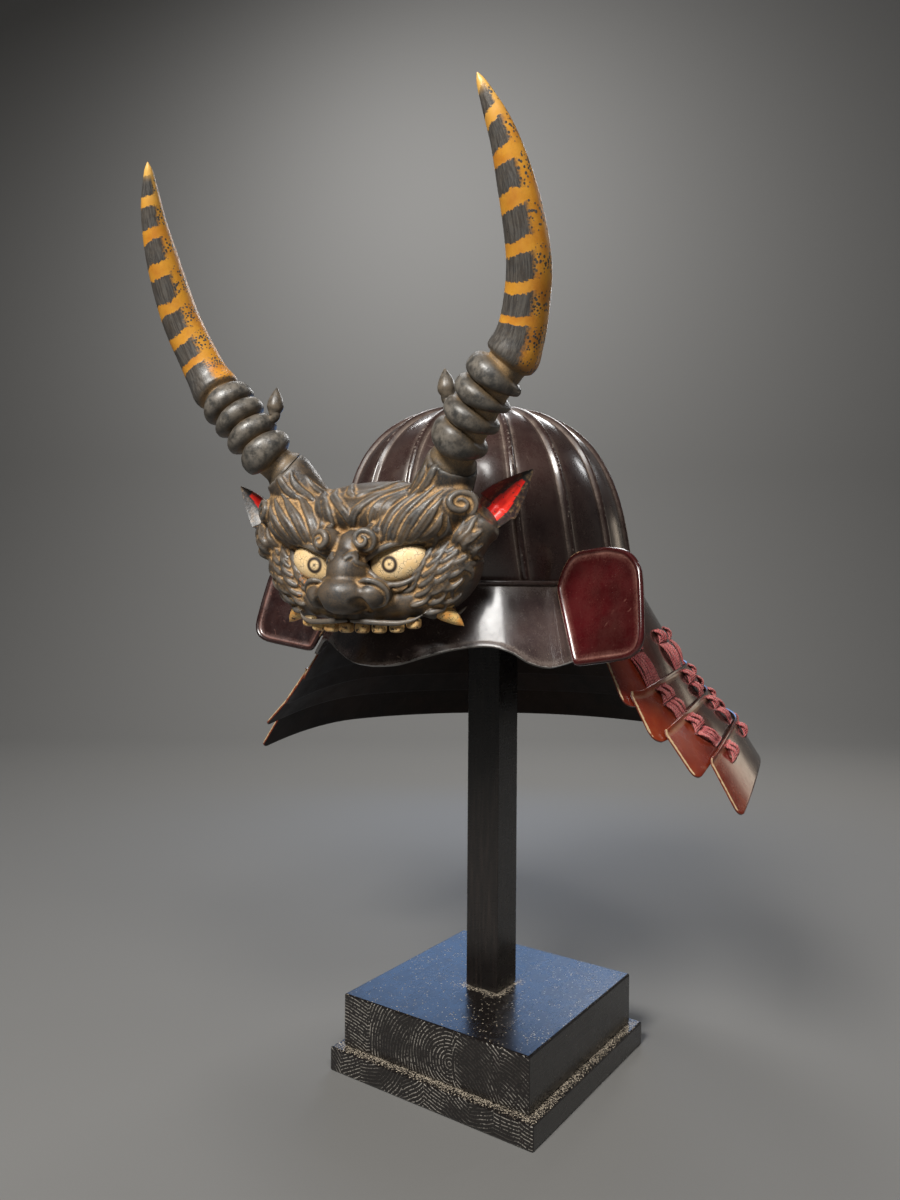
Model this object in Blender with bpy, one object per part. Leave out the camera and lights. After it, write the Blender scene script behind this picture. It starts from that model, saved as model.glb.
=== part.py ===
# A kabuto helmet with a horned ogre crest, resting on its wooden display stand.
# Metres, Z up. The origin is on the floor under the middle of the stand. The helmet faces -Y.

import math

import bmesh
import bpy
from mathutils import Matrix, Vector

GAP = 0.0003                  # clearance between neighbouring pieces

# Stand
PLINTH_SIDE = 0.2003
PLINTH_THICK = 0.0202
BLOCK_SIDE = 0.1836
BLOCK_THICK = 0.0444
BOARD_EDGE = 0.0015           # rounding of the boards' edges
POST_SIDE = 0.0322
POST_EDGE = 0.0008
REST_ROW = 4                  # the hidden head rest fills the bowl above this row of its hollow

# Bowl
RIM_HEIGHT = 0.4173           # underside of the rim band above the floor
BOWL_WIDE = 0.1170            # half width at the foot, outside
BOWL_LONG = 0.1380            # half length at the foot, outside
BOWL_TALL = 0.1470
BOWL_SET_BACK = 0.0030        # the bowl's middle lies behind the post's middle
BOWL_WALL = 0.0025
HOLLOW_ROWS = 7
BOWL_SQUARE = 2.60            # 2 is an ellipse, more is a squarer shoulder
BOWL_LEAN = 0.0180            # the crown stands this far forward of the foot
BOWL_CROWN = 0.11             # share of the radius where the ribs end
RIB_COUNT = 18
RIB_TURN = 7.0                # degrees, the front rib stands towards the wearer's left
RIB_WIDE = 0.0062
RIB_PROUD = 0.0022
RIM_TALL = 0.0038
RIM_PROUD = 0.0075            # reach of the rim band past the bowl

# Visor
VISOR_WALL = 0.0020
VISOR_DEPTH = 0.0660          # along its slope, in the middle
VISOR_FLARE = 25.0            # degrees from upright
VISOR_ANGLE = 59.0            # half of the arc that it covers, degrees
VISOR_SEAT = 0.0050           # its top edge lies this far outside the bowl

# Flaps beside the visor
FLAP_WIDE = 0.0790
FLAP_TALL = 0.0870
FLAP_WALL = 0.0026
FLAP_BEAD = 0.0022            # radius of the raised edge
FLAP_ANGLE = 61.5             # degrees from the front, a point on the inner edge, on the flap's face
FLAP_OUT = 0.00703            # that point lies this far outside the bowl at the sides,
FLAP_AHEAD = 0.0328           # this far at the front
FLAP_BELOW = 0.0013           # and this far below the rim band
FLAP_YAW = 16.5               # degrees, turned away from the front
FLAP_LEAN = 11.0              # degrees, its foot stands forward

# Neck guard
LAME_WALL = 0.0020
GUARD_FLARE = 0.1015          # outward, at the sides
GUARD_FLARE_BACK = 0.0955     # outward, at the back
GUARD_DROP = 0.1415
GUARD_DROOP = 0.13            # share by which the front ends hang lower
GUARD_SPLAY = 0.20            # share by which the front ends stand further out
GUARD_DROOP_FROM = 105.0      # degrees from the front where that begins
GUARD_DROOP_OVER = 28.0
LAME_CORNER = 0.0075
LAME_LIP = 0.0012             # the turned-out top edge

# Lacing
LACE_WIDE = 0.0150
LACE_THICK = 0.0030
LACE_PLACES = (0.10, 0.28, 0.46, 0.64, 0.82)     # shares of the way from the front end to the back

# Crest
CREST_CLEAR = 0.0020          # the crest turns about a point this far in front of the bowl's half length
CREST_YAW = 9.0               # degrees, turned to the wearer's left
CREST_BACK = 0.0167           # from the seat to the back of the face
CREST_DROP = 0.0323           # the lip hangs this far below the rim band
FACE_WIDE = 0.1000            # half width
FACE_DEEP = 0.0750
FACE_TALL = 0.1000
FACE_VOXEL = 0.0024
FACE_KEEP = 0.075             # share of the carved faces that stays
BRACKET_WIDE = 0.0320
BRACKET_TALL = 0.0340
BRACKET_LEAN = 0.0040         # its back leans forward, clear of the bowl

# Horns
HORN_RADIUS = 0.0150
HORN_RISE = 0.2060            # root to tip, upward
HORN_SPREAD = 0.0550          # root to tip, outward
HORN_REACH = 0.0860           # root to tip, forward
BUD_RING = 1.7                # the ring that carries the bud, counted from the root
BUD_LONG = 0.0225
BUD_RADIUS = 0.0062

# Ears and tusks
EAR_LONG = 0.0420
EAR_WIDE = 0.0270
EAR_WALL = 0.0030
TUSK_LONG = 0.0200
TUSK_RADIUS = 0.0060
HORN_SEAT = 0.0225            # radii of the flat seats cut into the face
EAR_SEAT = 0.0135
TUSK_SEAT = 0.0100

# Lower edge of the visor: degrees from the front, share of the slope
VISOR_EDGE = (
    (0.0, 1.00), (8.0, 0.97), (16.0, 0.87), (25.0, 0.77), (34.0, 0.735), (40.0, 0.80),
    (45.0, 0.93), (50.0, 0.985), (55.0, 0.95), (59.0, 0.90),
)

# The flap's outline from its lower inner corner: shares of its width and height, and roundness.
# The last four rows run down the fold.
FLAP_OUTLINE = (
    (0.30, -0.67, 0.06), (1.09, -0.55, 0.20), (1.00, -0.12, 0.0), (0.90, 0.29, 0.22), (0.52, 0.345, 0.0),
    (0.04, 0.31, 0.16), (-0.06, 0.0, 0.0), (0.031, -0.17, 0.0), (0.12, -0.335, 0.0), (0.209, -0.50, 0.0),
)
FLAP_FOLD = (0.05, 0.20, 0.35, 0.50)      # shares of the first plate's height where the fold meets it

# Each plate of the neck guard: shares of the flare and the drop at its top and foot, front angle
LAMES = (
    {"top_out": 0.000, "top_drop": 0.000, "foot_out": 0.416, "foot_drop": 0.516, "front": 65.7},
    {"top_out": 0.395, "top_drop": 0.456, "foot_out": 0.577, "foot_drop": 0.654, "front": 68.0},
    {"top_out": 0.564, "top_drop": 0.610, "foot_out": 0.788, "foot_drop": 0.796, "front": 71.3},
    {"top_out": 0.796, "top_drop": 0.764, "foot_out": 1.000, "foot_drop": 1.000, "front": 77.0},
)

# Masses of the face: middle and radii as shares of its half width, depth and height, and a tilt
# in degrees that lifts the outer end. Those with side are carved on both sides.
FACE_MASSES = (
    {"name": "skull", "at": (0.00, 0.10, 0.66), "size": (0.88, 0.44, 0.42), "tilt": 0, "side": False},
    {"name": "forehead", "at": (0.00, 0.30, 0.82), "size": (0.60, 0.36, 0.17), "tilt": 0, "side": False},
    {"name": "brow", "at": (0.47, 0.44, 0.74), "size": (0.44, 0.24, 0.17), "tilt": 24, "side": True},
    {"name": "brow_knob", "at": (0.135, 0.70, 0.635), "size": (0.085, 0.12, 0.085), "tilt": 0, "side": True},
    {"name": "temple_curl", "at": (0.865, 0.46, 0.855), "size": (0.105, 0.15, 0.105), "tilt": 0, "side": True},
    {"name": "eye", "at": (0.335, 0.46, 0.475), "size": (0.215, 0.17, 0.115), "tilt": 14, "side": True},
    {"name": "cheek", "at": (0.52, 0.24, 0.36), "size": (0.35, 0.32, 0.24), "tilt": 34, "side": True},
    {"name": "muzzle", "at": (0.00, 0.36, 0.16), "size": (0.46, 0.36, 0.17), "tilt": 0, "side": False},
    {"name": "nose_root", "at": (0.00, 0.62, 0.56), "size": (0.10, 0.20, 0.14), "tilt": 0, "side": False},
    {"name": "nose_back", "at": (0.00, 0.72, 0.40), "size": (0.13, 0.22, 0.20), "tilt": 0, "side": False},
    {"name": "nose_tip", "at": (0.00, 0.80, 0.21), "size": (0.19, 0.21, 0.145), "tilt": 0, "side": False},
    {"name": "nostril", "at": (0.25, 0.62, 0.265), "size": (0.125, 0.20, 0.125), "tilt": 12, "side": True},
    {"name": "lip", "at": (0.33, 0.42, 0.12), "size": (0.26, 0.18, 0.07), "tilt": 16, "side": True},
    {"name": "lip_fold", "at": (0.66, 0.26, 0.26), "size": (0.10, 0.16, 0.10), "tilt": 35, "side": True},
)

# Raised locks of the brows, cheeks and forehead: both ends as shares, and the root radius as a
# share of the half width. Each is carved on both sides.
FACE_LOCKS = (
    {"root": (0.22, 0.66, 0.62), "tip": (0.42, 0.52, 0.93), "thick": 0.055},
    {"root": (0.32, 0.64, 0.62), "tip": (0.58, 0.52, 0.92), "thick": 0.055},
    {"root": (0.42, 0.62, 0.63), "tip": (0.70, 0.50, 0.90), "thick": 0.055},
    {"root": (0.53, 0.58, 0.66), "tip": (0.80, 0.50, 0.82), "thick": 0.050},
    {"root": (0.16, 0.48, 0.98), "tip": (0.52, 0.36, 1.10), "thick": 0.045},
    {"root": (0.60, 0.46, 0.52), "tip": (0.98, 0.22, 0.64), "thick": 0.055},
    {"root": (0.58, 0.46, 0.44), "tip": (0.92, 0.22, 0.48), "thick": 0.055},
    {"root": (0.54, 0.46, 0.36), "tip": (0.82, 0.22, 0.34), "thick": 0.055},
    {"root": (0.48, 0.46, 0.29), "tip": (0.70, 0.26, 0.22), "thick": 0.050},
)

# Upper teeth along the lip: place across the mouth, drop below it
TEETH = ((0.00, -0.035), (0.14, -0.03), (0.27, -0.01), (0.40, 0.035))

# The horn's middle line: share of its length, and shares of its rise, spread and reach
HORN_LINE = (
    (0.00, 0.000, 0.000, 0.000), (0.06, 0.058, 0.200, 0.105), (0.12, 0.121, 0.382, 0.151),
    (0.18, 0.180, 0.545, 0.186), (0.24, 0.228, 0.691, 0.205), (0.31, 0.301, 0.927, 0.220),
    (0.42, 0.403, 1.109, 0.290), (0.58, 0.568, 1.255, 0.465), (0.80, 0.820, 1.200, 0.780),
    (1.00, 1.000, 1.000, 1.000),
)
# The smooth part of the horn: share of its length, share of the horn's radius
HORN_TAPER = (
    (0.010, 1.12), (0.035, 1.20), (0.10, 1.08), (0.20, 1.00), (0.34, 0.95), (0.48, 0.88), (0.61, 0.77),
    (0.73, 0.60), (0.83, 0.46), (0.91, 0.31), (0.97, 0.17), (1.00, 0.0),
)
HORN_RING_FROM = 0.030        # shares of the horn's length
HORN_RING_STEP = 0.062
HORN_RING_COUNT = 4
HORN_RING_RADIUS = 1.46       # shares of the horn's radius
HORN_CORE_RADIUS = 0.95
HORN_ROOT = (0.700, 0.373, 1.170)       # on the face, as shares
EAR_ROOT = (0.900, 0.290, 0.740)
TUSK_ROOT = (0.560, 0.300, 0.150)

RING_SIDES = 12
ARC = 2.0 * math.pi


def clear_scene():
    for item in list(bpy.data.objects):
        bpy.data.objects.remove(item, do_unlink=True)


def finish_colour(name, colour, roughness, metallic=0.0):
    """A plain Principled material."""
    material = bpy.data.materials.new(name)
    material.use_nodes = True
    shader = material.node_tree.nodes["Principled BSDF"]
    shader.inputs["Base Color"].default_value = (*colour, 1.0)
    shader.inputs["Roughness"].default_value = roughness
    shader.inputs["Metallic"].default_value = metallic
    return material


def add_object(name, bm, material, parent=None, smooth=40.0):
    """Turn a bmesh into one named object with its faces pointing out."""
    bmesh.ops.recalc_face_normals(bm, faces=bm.faces)
    mesh = bpy.data.meshes.new(name)
    bm.to_mesh(mesh)
    bm.free()
    item = bpy.data.objects.new(name, mesh)
    bpy.context.scene.collection.objects.link(item)
    if material is not None:
        mesh.materials.append(material)
    mesh.shade_smooth()
    mesh.set_sharp_from_angle(angle=math.radians(smooth))
    item.parent = parent
    return item


def mirror_copy(item, name):
    """The other one of a pair, as its own object, with the first one's finished mesh turned over."""
    graph = bpy.context.evaluated_depsgraph_get()
    mesh = bpy.data.meshes.new_from_object(item.evaluated_get(graph))
    mesh.name = name
    mesh.transform(Matrix.Diagonal((-1, 1, 1, 1)))
    mesh.flip_normals()
    copy = bpy.data.objects.new(name, mesh)
    bpy.context.scene.collection.objects.link(copy)
    copy.parent = item.parent
    return copy


def add_cutter(name, bm, target, operation="DIFFERENCE", parent=None):
    """A hidden helper that a Boolean takes from its target, or joins to it."""
    cutter = add_object(name, bm, None, parent)
    cutter.hide_render = True
    cutter.display_type = "WIRE"
    cut = target.modifiers.new(name, "BOOLEAN")
    cut.operation = operation
    cut.object = cutter
    return cutter


def bevel_edges(item, width, segments=2):
    bevel = item.modifiers.new("rounded_edges", "BEVEL")
    bevel.width = width
    bevel.segments = segments
    bevel.limit_method = "ANGLE"


def smooth_row(rows, x):
    """Read a table whose rows start with their place, on a smooth curve through all of them."""
    last = len(rows) - 1
    i = max(k for k in range(last) if rows[k][0] <= x or k == 0)
    before, here, after, beyond = rows[max(0, i - 1)], rows[i], rows[i + 1], rows[min(last, i + 2)]
    span = after[0] - here[0]
    t = (x - here[0]) / span
    values = []
    for k in range(1, len(here)):
        slope_in = (after[k] - before[k]) / (after[0] - before[0]) * span
        slope_out = (beyond[k] - here[k]) / (beyond[0] - here[0]) * span
        values.append((2 * t ** 3 - 3 * t ** 2 + 1) * here[k] + (t ** 3 - 2 * t ** 2 + t) * slope_in
                      + (3 * t ** 2 - 2 * t ** 3) * after[k] + (t ** 3 - t ** 2) * slope_out)
    return values


def add_rings(bm, rings, closed_ends=True):
    """Skin a list of rings of points. A ring of one point is a pole."""
    rows = [[bm.verts.new(p) for p in ring] for ring in rings]
    for low, high in zip(rows, rows[1:]):
        count = max(len(low), len(high))
        for i in range(count):
            j = (i + 1) % count
            corners = [low[i % len(low)], low[j % len(low)], high[j % len(high)], high[i % len(high)]]
            corners = list(dict.fromkeys(corners))
            bm.faces.new(corners)
    if closed_ends:
        for row in (rows[0], rows[-1]):
            if len(row) > 2:
                bm.faces.new(row)
    return rows


def add_wall(bm, outer, inner):
    """A closed sheet from two grids of points, its outer and its inner side."""
    over = [[bm.verts.new(p) for p in row] for row in outer]
    under = [[bm.verts.new(p) for p in row] for row in inner]
    last_row, last = len(over) - 1, len(over[0]) - 1
    for r in range(last_row):
        for c in range(last):
            bm.faces.new((over[r][c], over[r][c + 1], over[r + 1][c + 1], over[r + 1][c]))
            bm.faces.new((under[r][c], under[r + 1][c], under[r + 1][c + 1], under[r][c + 1]))
    for r in range(last_row):
        bm.faces.new((over[r][0], over[r + 1][0], under[r + 1][0], under[r][0]))
        bm.faces.new((over[r][last], under[r][last], under[r + 1][last], over[r + 1][last]))
    for c in range(last):
        bm.faces.new((over[0][c], under[0][c], under[0][c + 1], over[0][c + 1]))
        bm.faces.new((over[last_row][c], over[last_row][c + 1], under[last_row][c + 1], under[last_row][c]))


def around(angle, wide, long, z):
    """A point round the helmet. The angle is in degrees from the front towards +X."""
    turn = math.radians(angle)
    return Vector((wide * math.sin(turn), BOWL_SET_BACK - long * math.cos(turn), z))


# The stand

def board(name, side, thick, bottom, material):
    bm = bmesh.new()
    place = Matrix.Translation((0, 0, bottom + thick / 2)) @ Matrix.Diagonal((side, side, thick, 1))
    bmesh.ops.create_cube(bm, size=1.0, matrix=place)
    item = add_object(name, bm, material)
    bevel_edges(item, BOARD_EDGE)
    return item


def build_stand(wood):
    block_bottom = PLINTH_THICK + GAP
    post_bottom = block_bottom + BLOCK_THICK + GAP
    rest = hollow_rings(BOWL_WALL + GAP, REST_ROW)
    rest_bottom = rest[0][0].z
    board("base_plinth", PLINTH_SIDE, PLINTH_THICK, 0.0, wood)
    board("base_block", BLOCK_SIDE, BLOCK_THICK, block_bottom, wood)
    bm = bmesh.new()
    tall = rest_bottom - GAP - post_bottom
    place = Matrix.Translation((0, 0, post_bottom + tall / 2)) @ Matrix.Diagonal((POST_SIDE, POST_SIDE, tall, 1))
    bmesh.ops.create_cube(bm, size=1.0, matrix=place)
    bevel_edges(add_object("post", bm, wood), POST_EDGE, 1)
    bm = bmesh.new()
    add_rings(bm, rest)
    add_object("head_rest", bm, wood)


# The bowl

def bowl_foot():
    return RIM_HEIGHT + RIM_TALL + GAP


def bowl_point(angle, lift, inset=0.0, proud=0.0):
    """A point of the bowl: degrees from the front, and degrees of lift from foot to top."""
    power = 2.0 / BOWL_SQUARE
    radius = max(0.0, math.cos(math.radians(lift))) ** power
    height = math.sin(math.radians(lift)) ** power
    wide = (BOWL_WIDE - inset) * radius + proud * radius ** 0.5
    long = (BOWL_LONG - inset) * radius + proud * radius ** 0.5
    z = bowl_foot() + (BOWL_TALL - inset) * height + proud * height
    point = around(angle, wide, long, z)
    point.y -= BOWL_LEAN * (1.0 - (1.0 - height) ** 3)
    return point


def hollow_rings(inset, first):
    """Rings of a surface inside the bowl, from one row of its hollow up to the top."""
    rings = []
    for i in range(first, HOLLOW_ROWS):
        rings.append([bowl_point(angle, 90.0 * i / HOLLOW_ROWS, inset) for angle in range(0, 360, 10)])
    return rings + [[bowl_point(0, 90.0, inset)]]


def rib_columns():
    """Angles round the bowl with the share of the rib's height at each."""
    step = 360.0 / RIB_COUNT
    half = math.degrees(RIB_WIDE / 2 / BOWL_WIDE)
    columns = []
    for i in range(RIB_COUNT):
        for shift, proud in ((-half, 0.0), (-half * 0.35, 1.0), (half * 0.35, 1.0), (half, 0.0)):
            columns.append((RIB_TURN + i * step, shift, proud))
        columns.append((RIB_TURN + i * step, step / 2, 0.0))
    return columns


def build_bowl(lacquer):
    crown_lift = math.degrees(math.acos(BOWL_CROWN ** (BOWL_SQUARE / 2)))
    rings = []
    rows = 9
    for i in range(rows):
        lift = crown_lift * (i / (rows - 1)) ** 0.9
        radius = max(BOWL_CROWN, math.cos(math.radians(lift)) ** (2.0 / BOWL_SQUARE))
        ring = []
        for middle, shift, proud in rib_columns():
            spread = shift if shift == 180.0 / RIB_COUNT else shift / radius
            spread = min(spread, 150.0 / RIB_COUNT) if shift != 180.0 / RIB_COUNT else spread
            spread = max(spread, -150.0 / RIB_COUNT)
            ring.append(bowl_point(middle + spread, lift, 0.0, proud * RIB_PROUD))
        rings.append(ring)
    rings.append([bowl_point(0, 90.0, 0.0, RIB_PROUD / 2)])
    bm = bmesh.new()
    add_rings(bm, rings)
    bowl = add_object("bowl", bm, lacquer)
    hollow = [[bowl_point(a, 0, BOWL_WALL) - Vector((0, 0, 0.01)) for a in range(0, 360, 10)]]
    bm = bmesh.new()
    add_rings(bm, hollow + hollow_rings(BOWL_WALL, 0))
    add_cutter("bowl_hollow", bm, bowl)


def build_rim(lacquer):
    """The band under the bowl's foot, with a rounded outer edge."""
    inner, outer = -BOWL_WALL, RIM_PROUD
    section = (
        (inner, 0.0), (outer - RIM_TALL * 0.35, 0.0), (outer, RIM_TALL * 0.5),
        (outer - RIM_TALL * 0.35, RIM_TALL), (inner, RIM_TALL),
    )
    bm = bmesh.new()
    rows = []
    for angle in range(0, 360, 8):
        rows.append([bm.verts.new(around(angle, BOWL_WIDE + r, BOWL_LONG + r, RIM_HEIGHT + z)) for r, z in section])
    for i, row in enumerate(rows):
        after = rows[(i + 1) % len(rows)]
        for j in range(len(section)):
            k = (j + 1) % len(section)
            bm.faces.new((row[j], after[j], after[k], row[k]))
    add_object("bowl_rim", bm, lacquer)


# The visor

def visor_point(angle, slope, under=0.0):
    """A point on the visor: degrees from the front, metres down the slope, metres under it."""
    flare = math.radians(VISOR_FLARE)
    out = VISOR_SEAT + slope * math.sin(flare) - under * math.cos(flare)
    down = slope * math.cos(flare) + under * math.sin(flare)
    return around(angle, BOWL_WIDE + out, BOWL_LONG + out, RIM_HEIGHT - GAP - down)


def build_visor(lacquer):
    columns = 44
    outer, inner = [], []
    for share in (0.0, 0.35, 0.7, 1.0):
        over, under = [], []
        for c in range(columns + 1):
            angle = VISOR_ANGLE * (2.0 * c / columns - 1.0)
            foot = VISOR_DEPTH * smooth_row(VISOR_EDGE, abs(angle))[0]
            slope = foot * share
            over.append(visor_point(angle, slope))
            shift = VISOR_WALL if share > 0 else VISOR_WALL * 0.6
            low = visor_point(angle, slope, shift)
            low.z = min(low.z, RIM_HEIGHT - GAP)
            under.append(low)
        outer.append(over)
        inner.append(under)
    bm = bmesh.new()
    add_wall(bm, outer, inner)
    add_object("visor", bm, lacquer)


# The neck guard

def front_share(angle):
    """How far an angle, counted round from the front, lies towards the front ends."""
    share = (GUARD_DROOP_FROM - (180.0 - abs(angle - 180.0))) / GUARD_DROOP_OVER
    return min(1.2, max(0.0, share)) ** 2


def guard_point(angle, out, drop, proud=0.0):
    """A point of the neck guard: degrees from the front, shares of the flare and the drop."""
    front = front_share(angle)
    side = GUARD_FLARE * out * (1.0 + GUARD_SPLAY * front) + proud
    back = GUARD_FLARE_BACK * out * (1.0 + GUARD_SPLAY * front) + proud
    z = RIM_HEIGHT - GAP - GUARD_DROP * drop * (1.0 + GUARD_DROOP * front)
    return around(angle, BOWL_WIDE + VISOR_SEAT + side, BOWL_LONG + VISOR_SEAT + back, z)


def lame_point(lame, angle, share, proud=0.0):
    """A point on a plate: share 0 is its top edge, 1 its foot; proud is how far it stands off."""
    out = lame["top_out"] + (lame["foot_out"] - lame["top_out"]) * share
    drop = lame["top_drop"] + (lame["foot_drop"] - lame["top_drop"]) * share
    slope = math.atan2((lame["foot_out"] - lame["top_out"]) * GUARD_FLARE,
                       (lame["foot_drop"] - lame["top_drop"]) * GUARD_DROP)
    point = guard_point(angle, out, drop, proud * math.cos(slope))
    point.z += proud * math.sin(slope)
    return point


def lame_angles(lame):
    """Degrees round the plate, closer together at its rounded front corners."""
    reach = 180.0 - lame["front"]
    corner = math.degrees(LAME_CORNER / (BOWL_WIDE + GUARD_FLARE * lame["foot_out"]))
    near = [reach - corner * c for c in (0.0, 0.3, 0.65, 1.0)]
    count = 11
    between = [near[-1] * (1.0 - 2.0 * i / count) for i in range(1, count)]
    return [180.0 + a for a in [-x for x in near] + [-b for b in between] + near[::-1]]


def lame_facet(lame, angle, share, proud):
    """A point on the plate's flat facet at an angle between two of its columns."""
    angles = lame_angles(lame)
    i = max(k for k in range(len(angles) - 1) if angles[k] <= angle)
    t = (angle - angles[i]) / (angles[i + 1] - angles[i])
    before = lame_point(lame, angles[i], share, proud)
    return before.lerp(lame_point(lame, angles[i + 1], share, proud), t)


def lame_foot(lame, angle):
    """The share of the plate's height that is left at a rounded front corner."""
    reach = 180.0 - lame["front"]
    corner = math.degrees(LAME_CORNER / (BOWL_WIDE + GUARD_FLARE * lame["foot_out"]))
    inside = max(0.0, (corner - (reach - abs(angle - 180.0))) / corner)
    tall = (lame["foot_drop"] - lame["top_drop"]) * GUARD_DROP * 1.2
    return 1.0 - (1.0 - math.sqrt(max(0.0, 1.0 - inside ** 2))) * min(0.8, LAME_CORNER / tall)


def build_lames(lacquer):
    for number, lame in enumerate(LAMES, start=1):
        outer, inner = [], []
        rows = (0.0, 0.12, 0.5, 1.0)
        for share in rows:
            over, under = [], []
            for angle in lame_angles(lame):
                lip = LAME_LIP if share == 0.0 and number > 1 else 0.0
                place = share * lame_foot(lame, angle)
                over.append(lame_point(lame, angle, place, lip))
                low = lame_point(lame, angle, place, lip - LAME_WALL)
                if number == 1:
                    low.z = min(low.z, RIM_HEIGHT - GAP)
                under.append(low)
            outer.append(over)
            inner.append(under)
        bm = bmesh.new()
        add_wall(bm, outer, inner)
        add_object("shikoro_lame_%d" % number, bm, lacquer)


# The flaps

def flap_frame():
    """A point on the flap's inner edge, its outward and its upward direction, its face."""
    yaw, lean = math.radians(FLAP_YAW), math.radians(FLAP_LEAN)
    outward = Vector((math.cos(yaw), -math.sin(yaw), 0.0))
    face = Vector((-math.sin(yaw), -math.cos(yaw), 0.0))
    upward = Vector((0, 0, 1)) * math.cos(lean) - face * math.sin(lean)
    face = face * math.cos(lean) + Vector((0, 0, 1)) * math.sin(lean)
    inner = around(FLAP_ANGLE, BOWL_WIDE + FLAP_OUT, BOWL_LONG + FLAP_AHEAD, RIM_HEIGHT - FLAP_BELOW)
    return inner, outward, upward, face


def round_outline(rows, steps=2):
    """Corner rows with a roundness, cut back and curved. Returns shares of width and height."""
    points = []
    count = len(rows)
    for i, (x, y, roundness) in enumerate(rows):
        here = Vector((x, y))
        if roundness == 0.0:
            points.append(here)
            continue
        before = Vector(rows[i - 1][:2])
        after = Vector(rows[(i + 1) % count][:2])
        start = here + (before - here).normalized() * roundness
        end = here + (after - here).normalized() * roundness
        for s in range(steps + 1):
            t = s / steps
            points.append(start * (1 - t) ** 2 + here * 2 * t * (1 - t) + end * t ** 2)
    return points


def build_flaps(lacquer):
    base, outward, upward, face = flap_frame()
    outline = round_outline(FLAP_OUTLINE)
    middle = sum(outline, Vector((0, 0))) / len(outline)

    def ring(inset, height):
        points = []
        for p in outline:
            flat = Vector((p.x * FLAP_WIDE, p.y * FLAP_TALL))
            centre = Vector((middle.x * FLAP_WIDE, middle.y * FLAP_TALL))
            flat += (centre - flat).normalized() * inset
            points.append(base + outward * flat.x + upward * flat.y + face * height)
        return points

    back = -FLAP_WALL
    rings = [
        [sum(ring(0.0, back), Vector()) / len(outline)],
        ring(2 * FLAP_BEAD, back), ring(FLAP_BEAD, back - FLAP_BEAD * 0.5), ring(0.0, back * 0.5),
        ring(FLAP_BEAD, FLAP_BEAD * 0.6), ring(2 * FLAP_BEAD, 0.0),
        [sum(ring(0.0, 0.0), Vector()) / len(outline)],
    ]
    bm = bmesh.new()
    rows = add_rings(bm, rings)
    count = len(FLAP_FOLD)
    add_fold(bm, rows[2][-count:], rows[3][-count:])
    mirror_copy(add_object("fukigaeshi_left", bm, lacquer), "fukigaeshi_right")


def add_fold(bm, back, front):
    """The strip that turns forward from the first plate's front edge into the flap."""
    lame = LAMES[0]
    angle = lame["front"] - math.degrees(GAP / BOWL_WIDE)
    over = [bm.verts.new(lame_point(lame, angle, share)) for share in FLAP_FOLD]
    under = [bm.verts.new(lame_point(lame, angle, share, -LAME_WALL)) for share in FLAP_FOLD]
    for k in range(len(over) - 1):
        bm.faces.remove(bm.faces.get((back[k], back[k + 1], front[k + 1], front[k])))
        bm.faces.new((back[k], over[k], over[k + 1], back[k + 1]))
        bm.faces.new((front[k], front[k + 1], under[k + 1], under[k]))
        bm.faces.new((over[k], under[k], under[k + 1], over[k + 1]))
    bm.faces.new((back[0], front[0], under[0], over[0]))
    bm.faces.new((back[-1], over[-1], under[-1], front[-1]))


# The lacing

def lace_path(place, aside):
    """Points down one column: on each plate, then over the next plate's top edge."""
    def angle_at(number):
        lame = LAMES[min(number, len(LAMES) - 1)]
        radius = BOWL_WIDE + GUARD_FLARE * lame["foot_out"]
        return lame["front"] + (180.0 - lame["front"]) * place + math.degrees(aside / radius)

    path = []
    for i, lame in enumerate(LAMES):
        lip = LAME_LIP if i > 0 else 0.0
        here, after = angle_at(i), angle_at(i + 1)
        if i > 0:
            edge = lame_facet(lame, here, 0.0, lip + 2 * GAP)
            path.append(edge + Vector((0, 0, 2 * GAP)))
        shares = (0.42, 0.72) if i == 0 else (0.20, 0.55) if i < len(LAMES) - 1 else (0.15, 0.40)
        path.append(lame_facet(lame, here, shares[0], 2 * GAP))
        path.append(lame_facet(lame, here + (after - here) * 0.6, shares[1], 2 * GAP))
    return path


def build_lace(name, place, cord):
    lower = [lace_path(place, aside) for aside in (-LACE_WIDE / 2, 0.0, LACE_WIDE / 2)]
    count = len(lower[0])
    outer, inner = [], []
    for r in range(count):
        over, under = [], []
        for c in range(3):
            point = lower[c][r]
            before = lower[c][max(0, r - 1)]
            after = lower[c][min(count - 1, r + 1)]
            across = lower[2][r] - lower[0][r]
            away = across.cross(before - after).normalized()
            if away.dot(Vector((point.x, point.y, 0))) < 0:
                away = -away
            thick = LACE_THICK * (1.0 if c == 1 else 0.55)
            over.append(point + away * thick)
            under.append(point)
        outer.append(over)
        inner.append(under)
    bm = bmesh.new()
    add_wall(bm, outer, inner)
    return add_object(name, bm, cord)


def build_lacing(cord):
    build_lace("lacing_back", 1.0, cord)
    for number, place in enumerate(LACE_PLACES, start=1):
        left = build_lace("lacing_left_%d" % number, place, cord)
        mirror_copy(left, "lacing_right_%d" % number)


# The crest. Its own frame has its origin at the seat, X outward, -Y forward, Z up from the floor.

def face_point(shares, side=1):
    x, y, z = shares
    return Vector((side * x * FACE_WIDE, -CREST_BACK - y * FACE_DEEP, RIM_HEIGHT - CREST_DROP + z * FACE_TALL))


def add_mass(bm, mass, side):
    sx, sy, sz = mass["size"]
    place = (Matrix.Translation(face_point(mass["at"], side))
             @ Matrix.Rotation(-math.radians(mass["tilt"]) * side, 4, "Y")
             @ Matrix.Diagonal((sx * FACE_WIDE, sy * FACE_DEEP, sz * FACE_TALL, 1)))
    bmesh.ops.create_icosphere(bm, subdivisions=3, radius=1.0, matrix=place)


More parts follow.
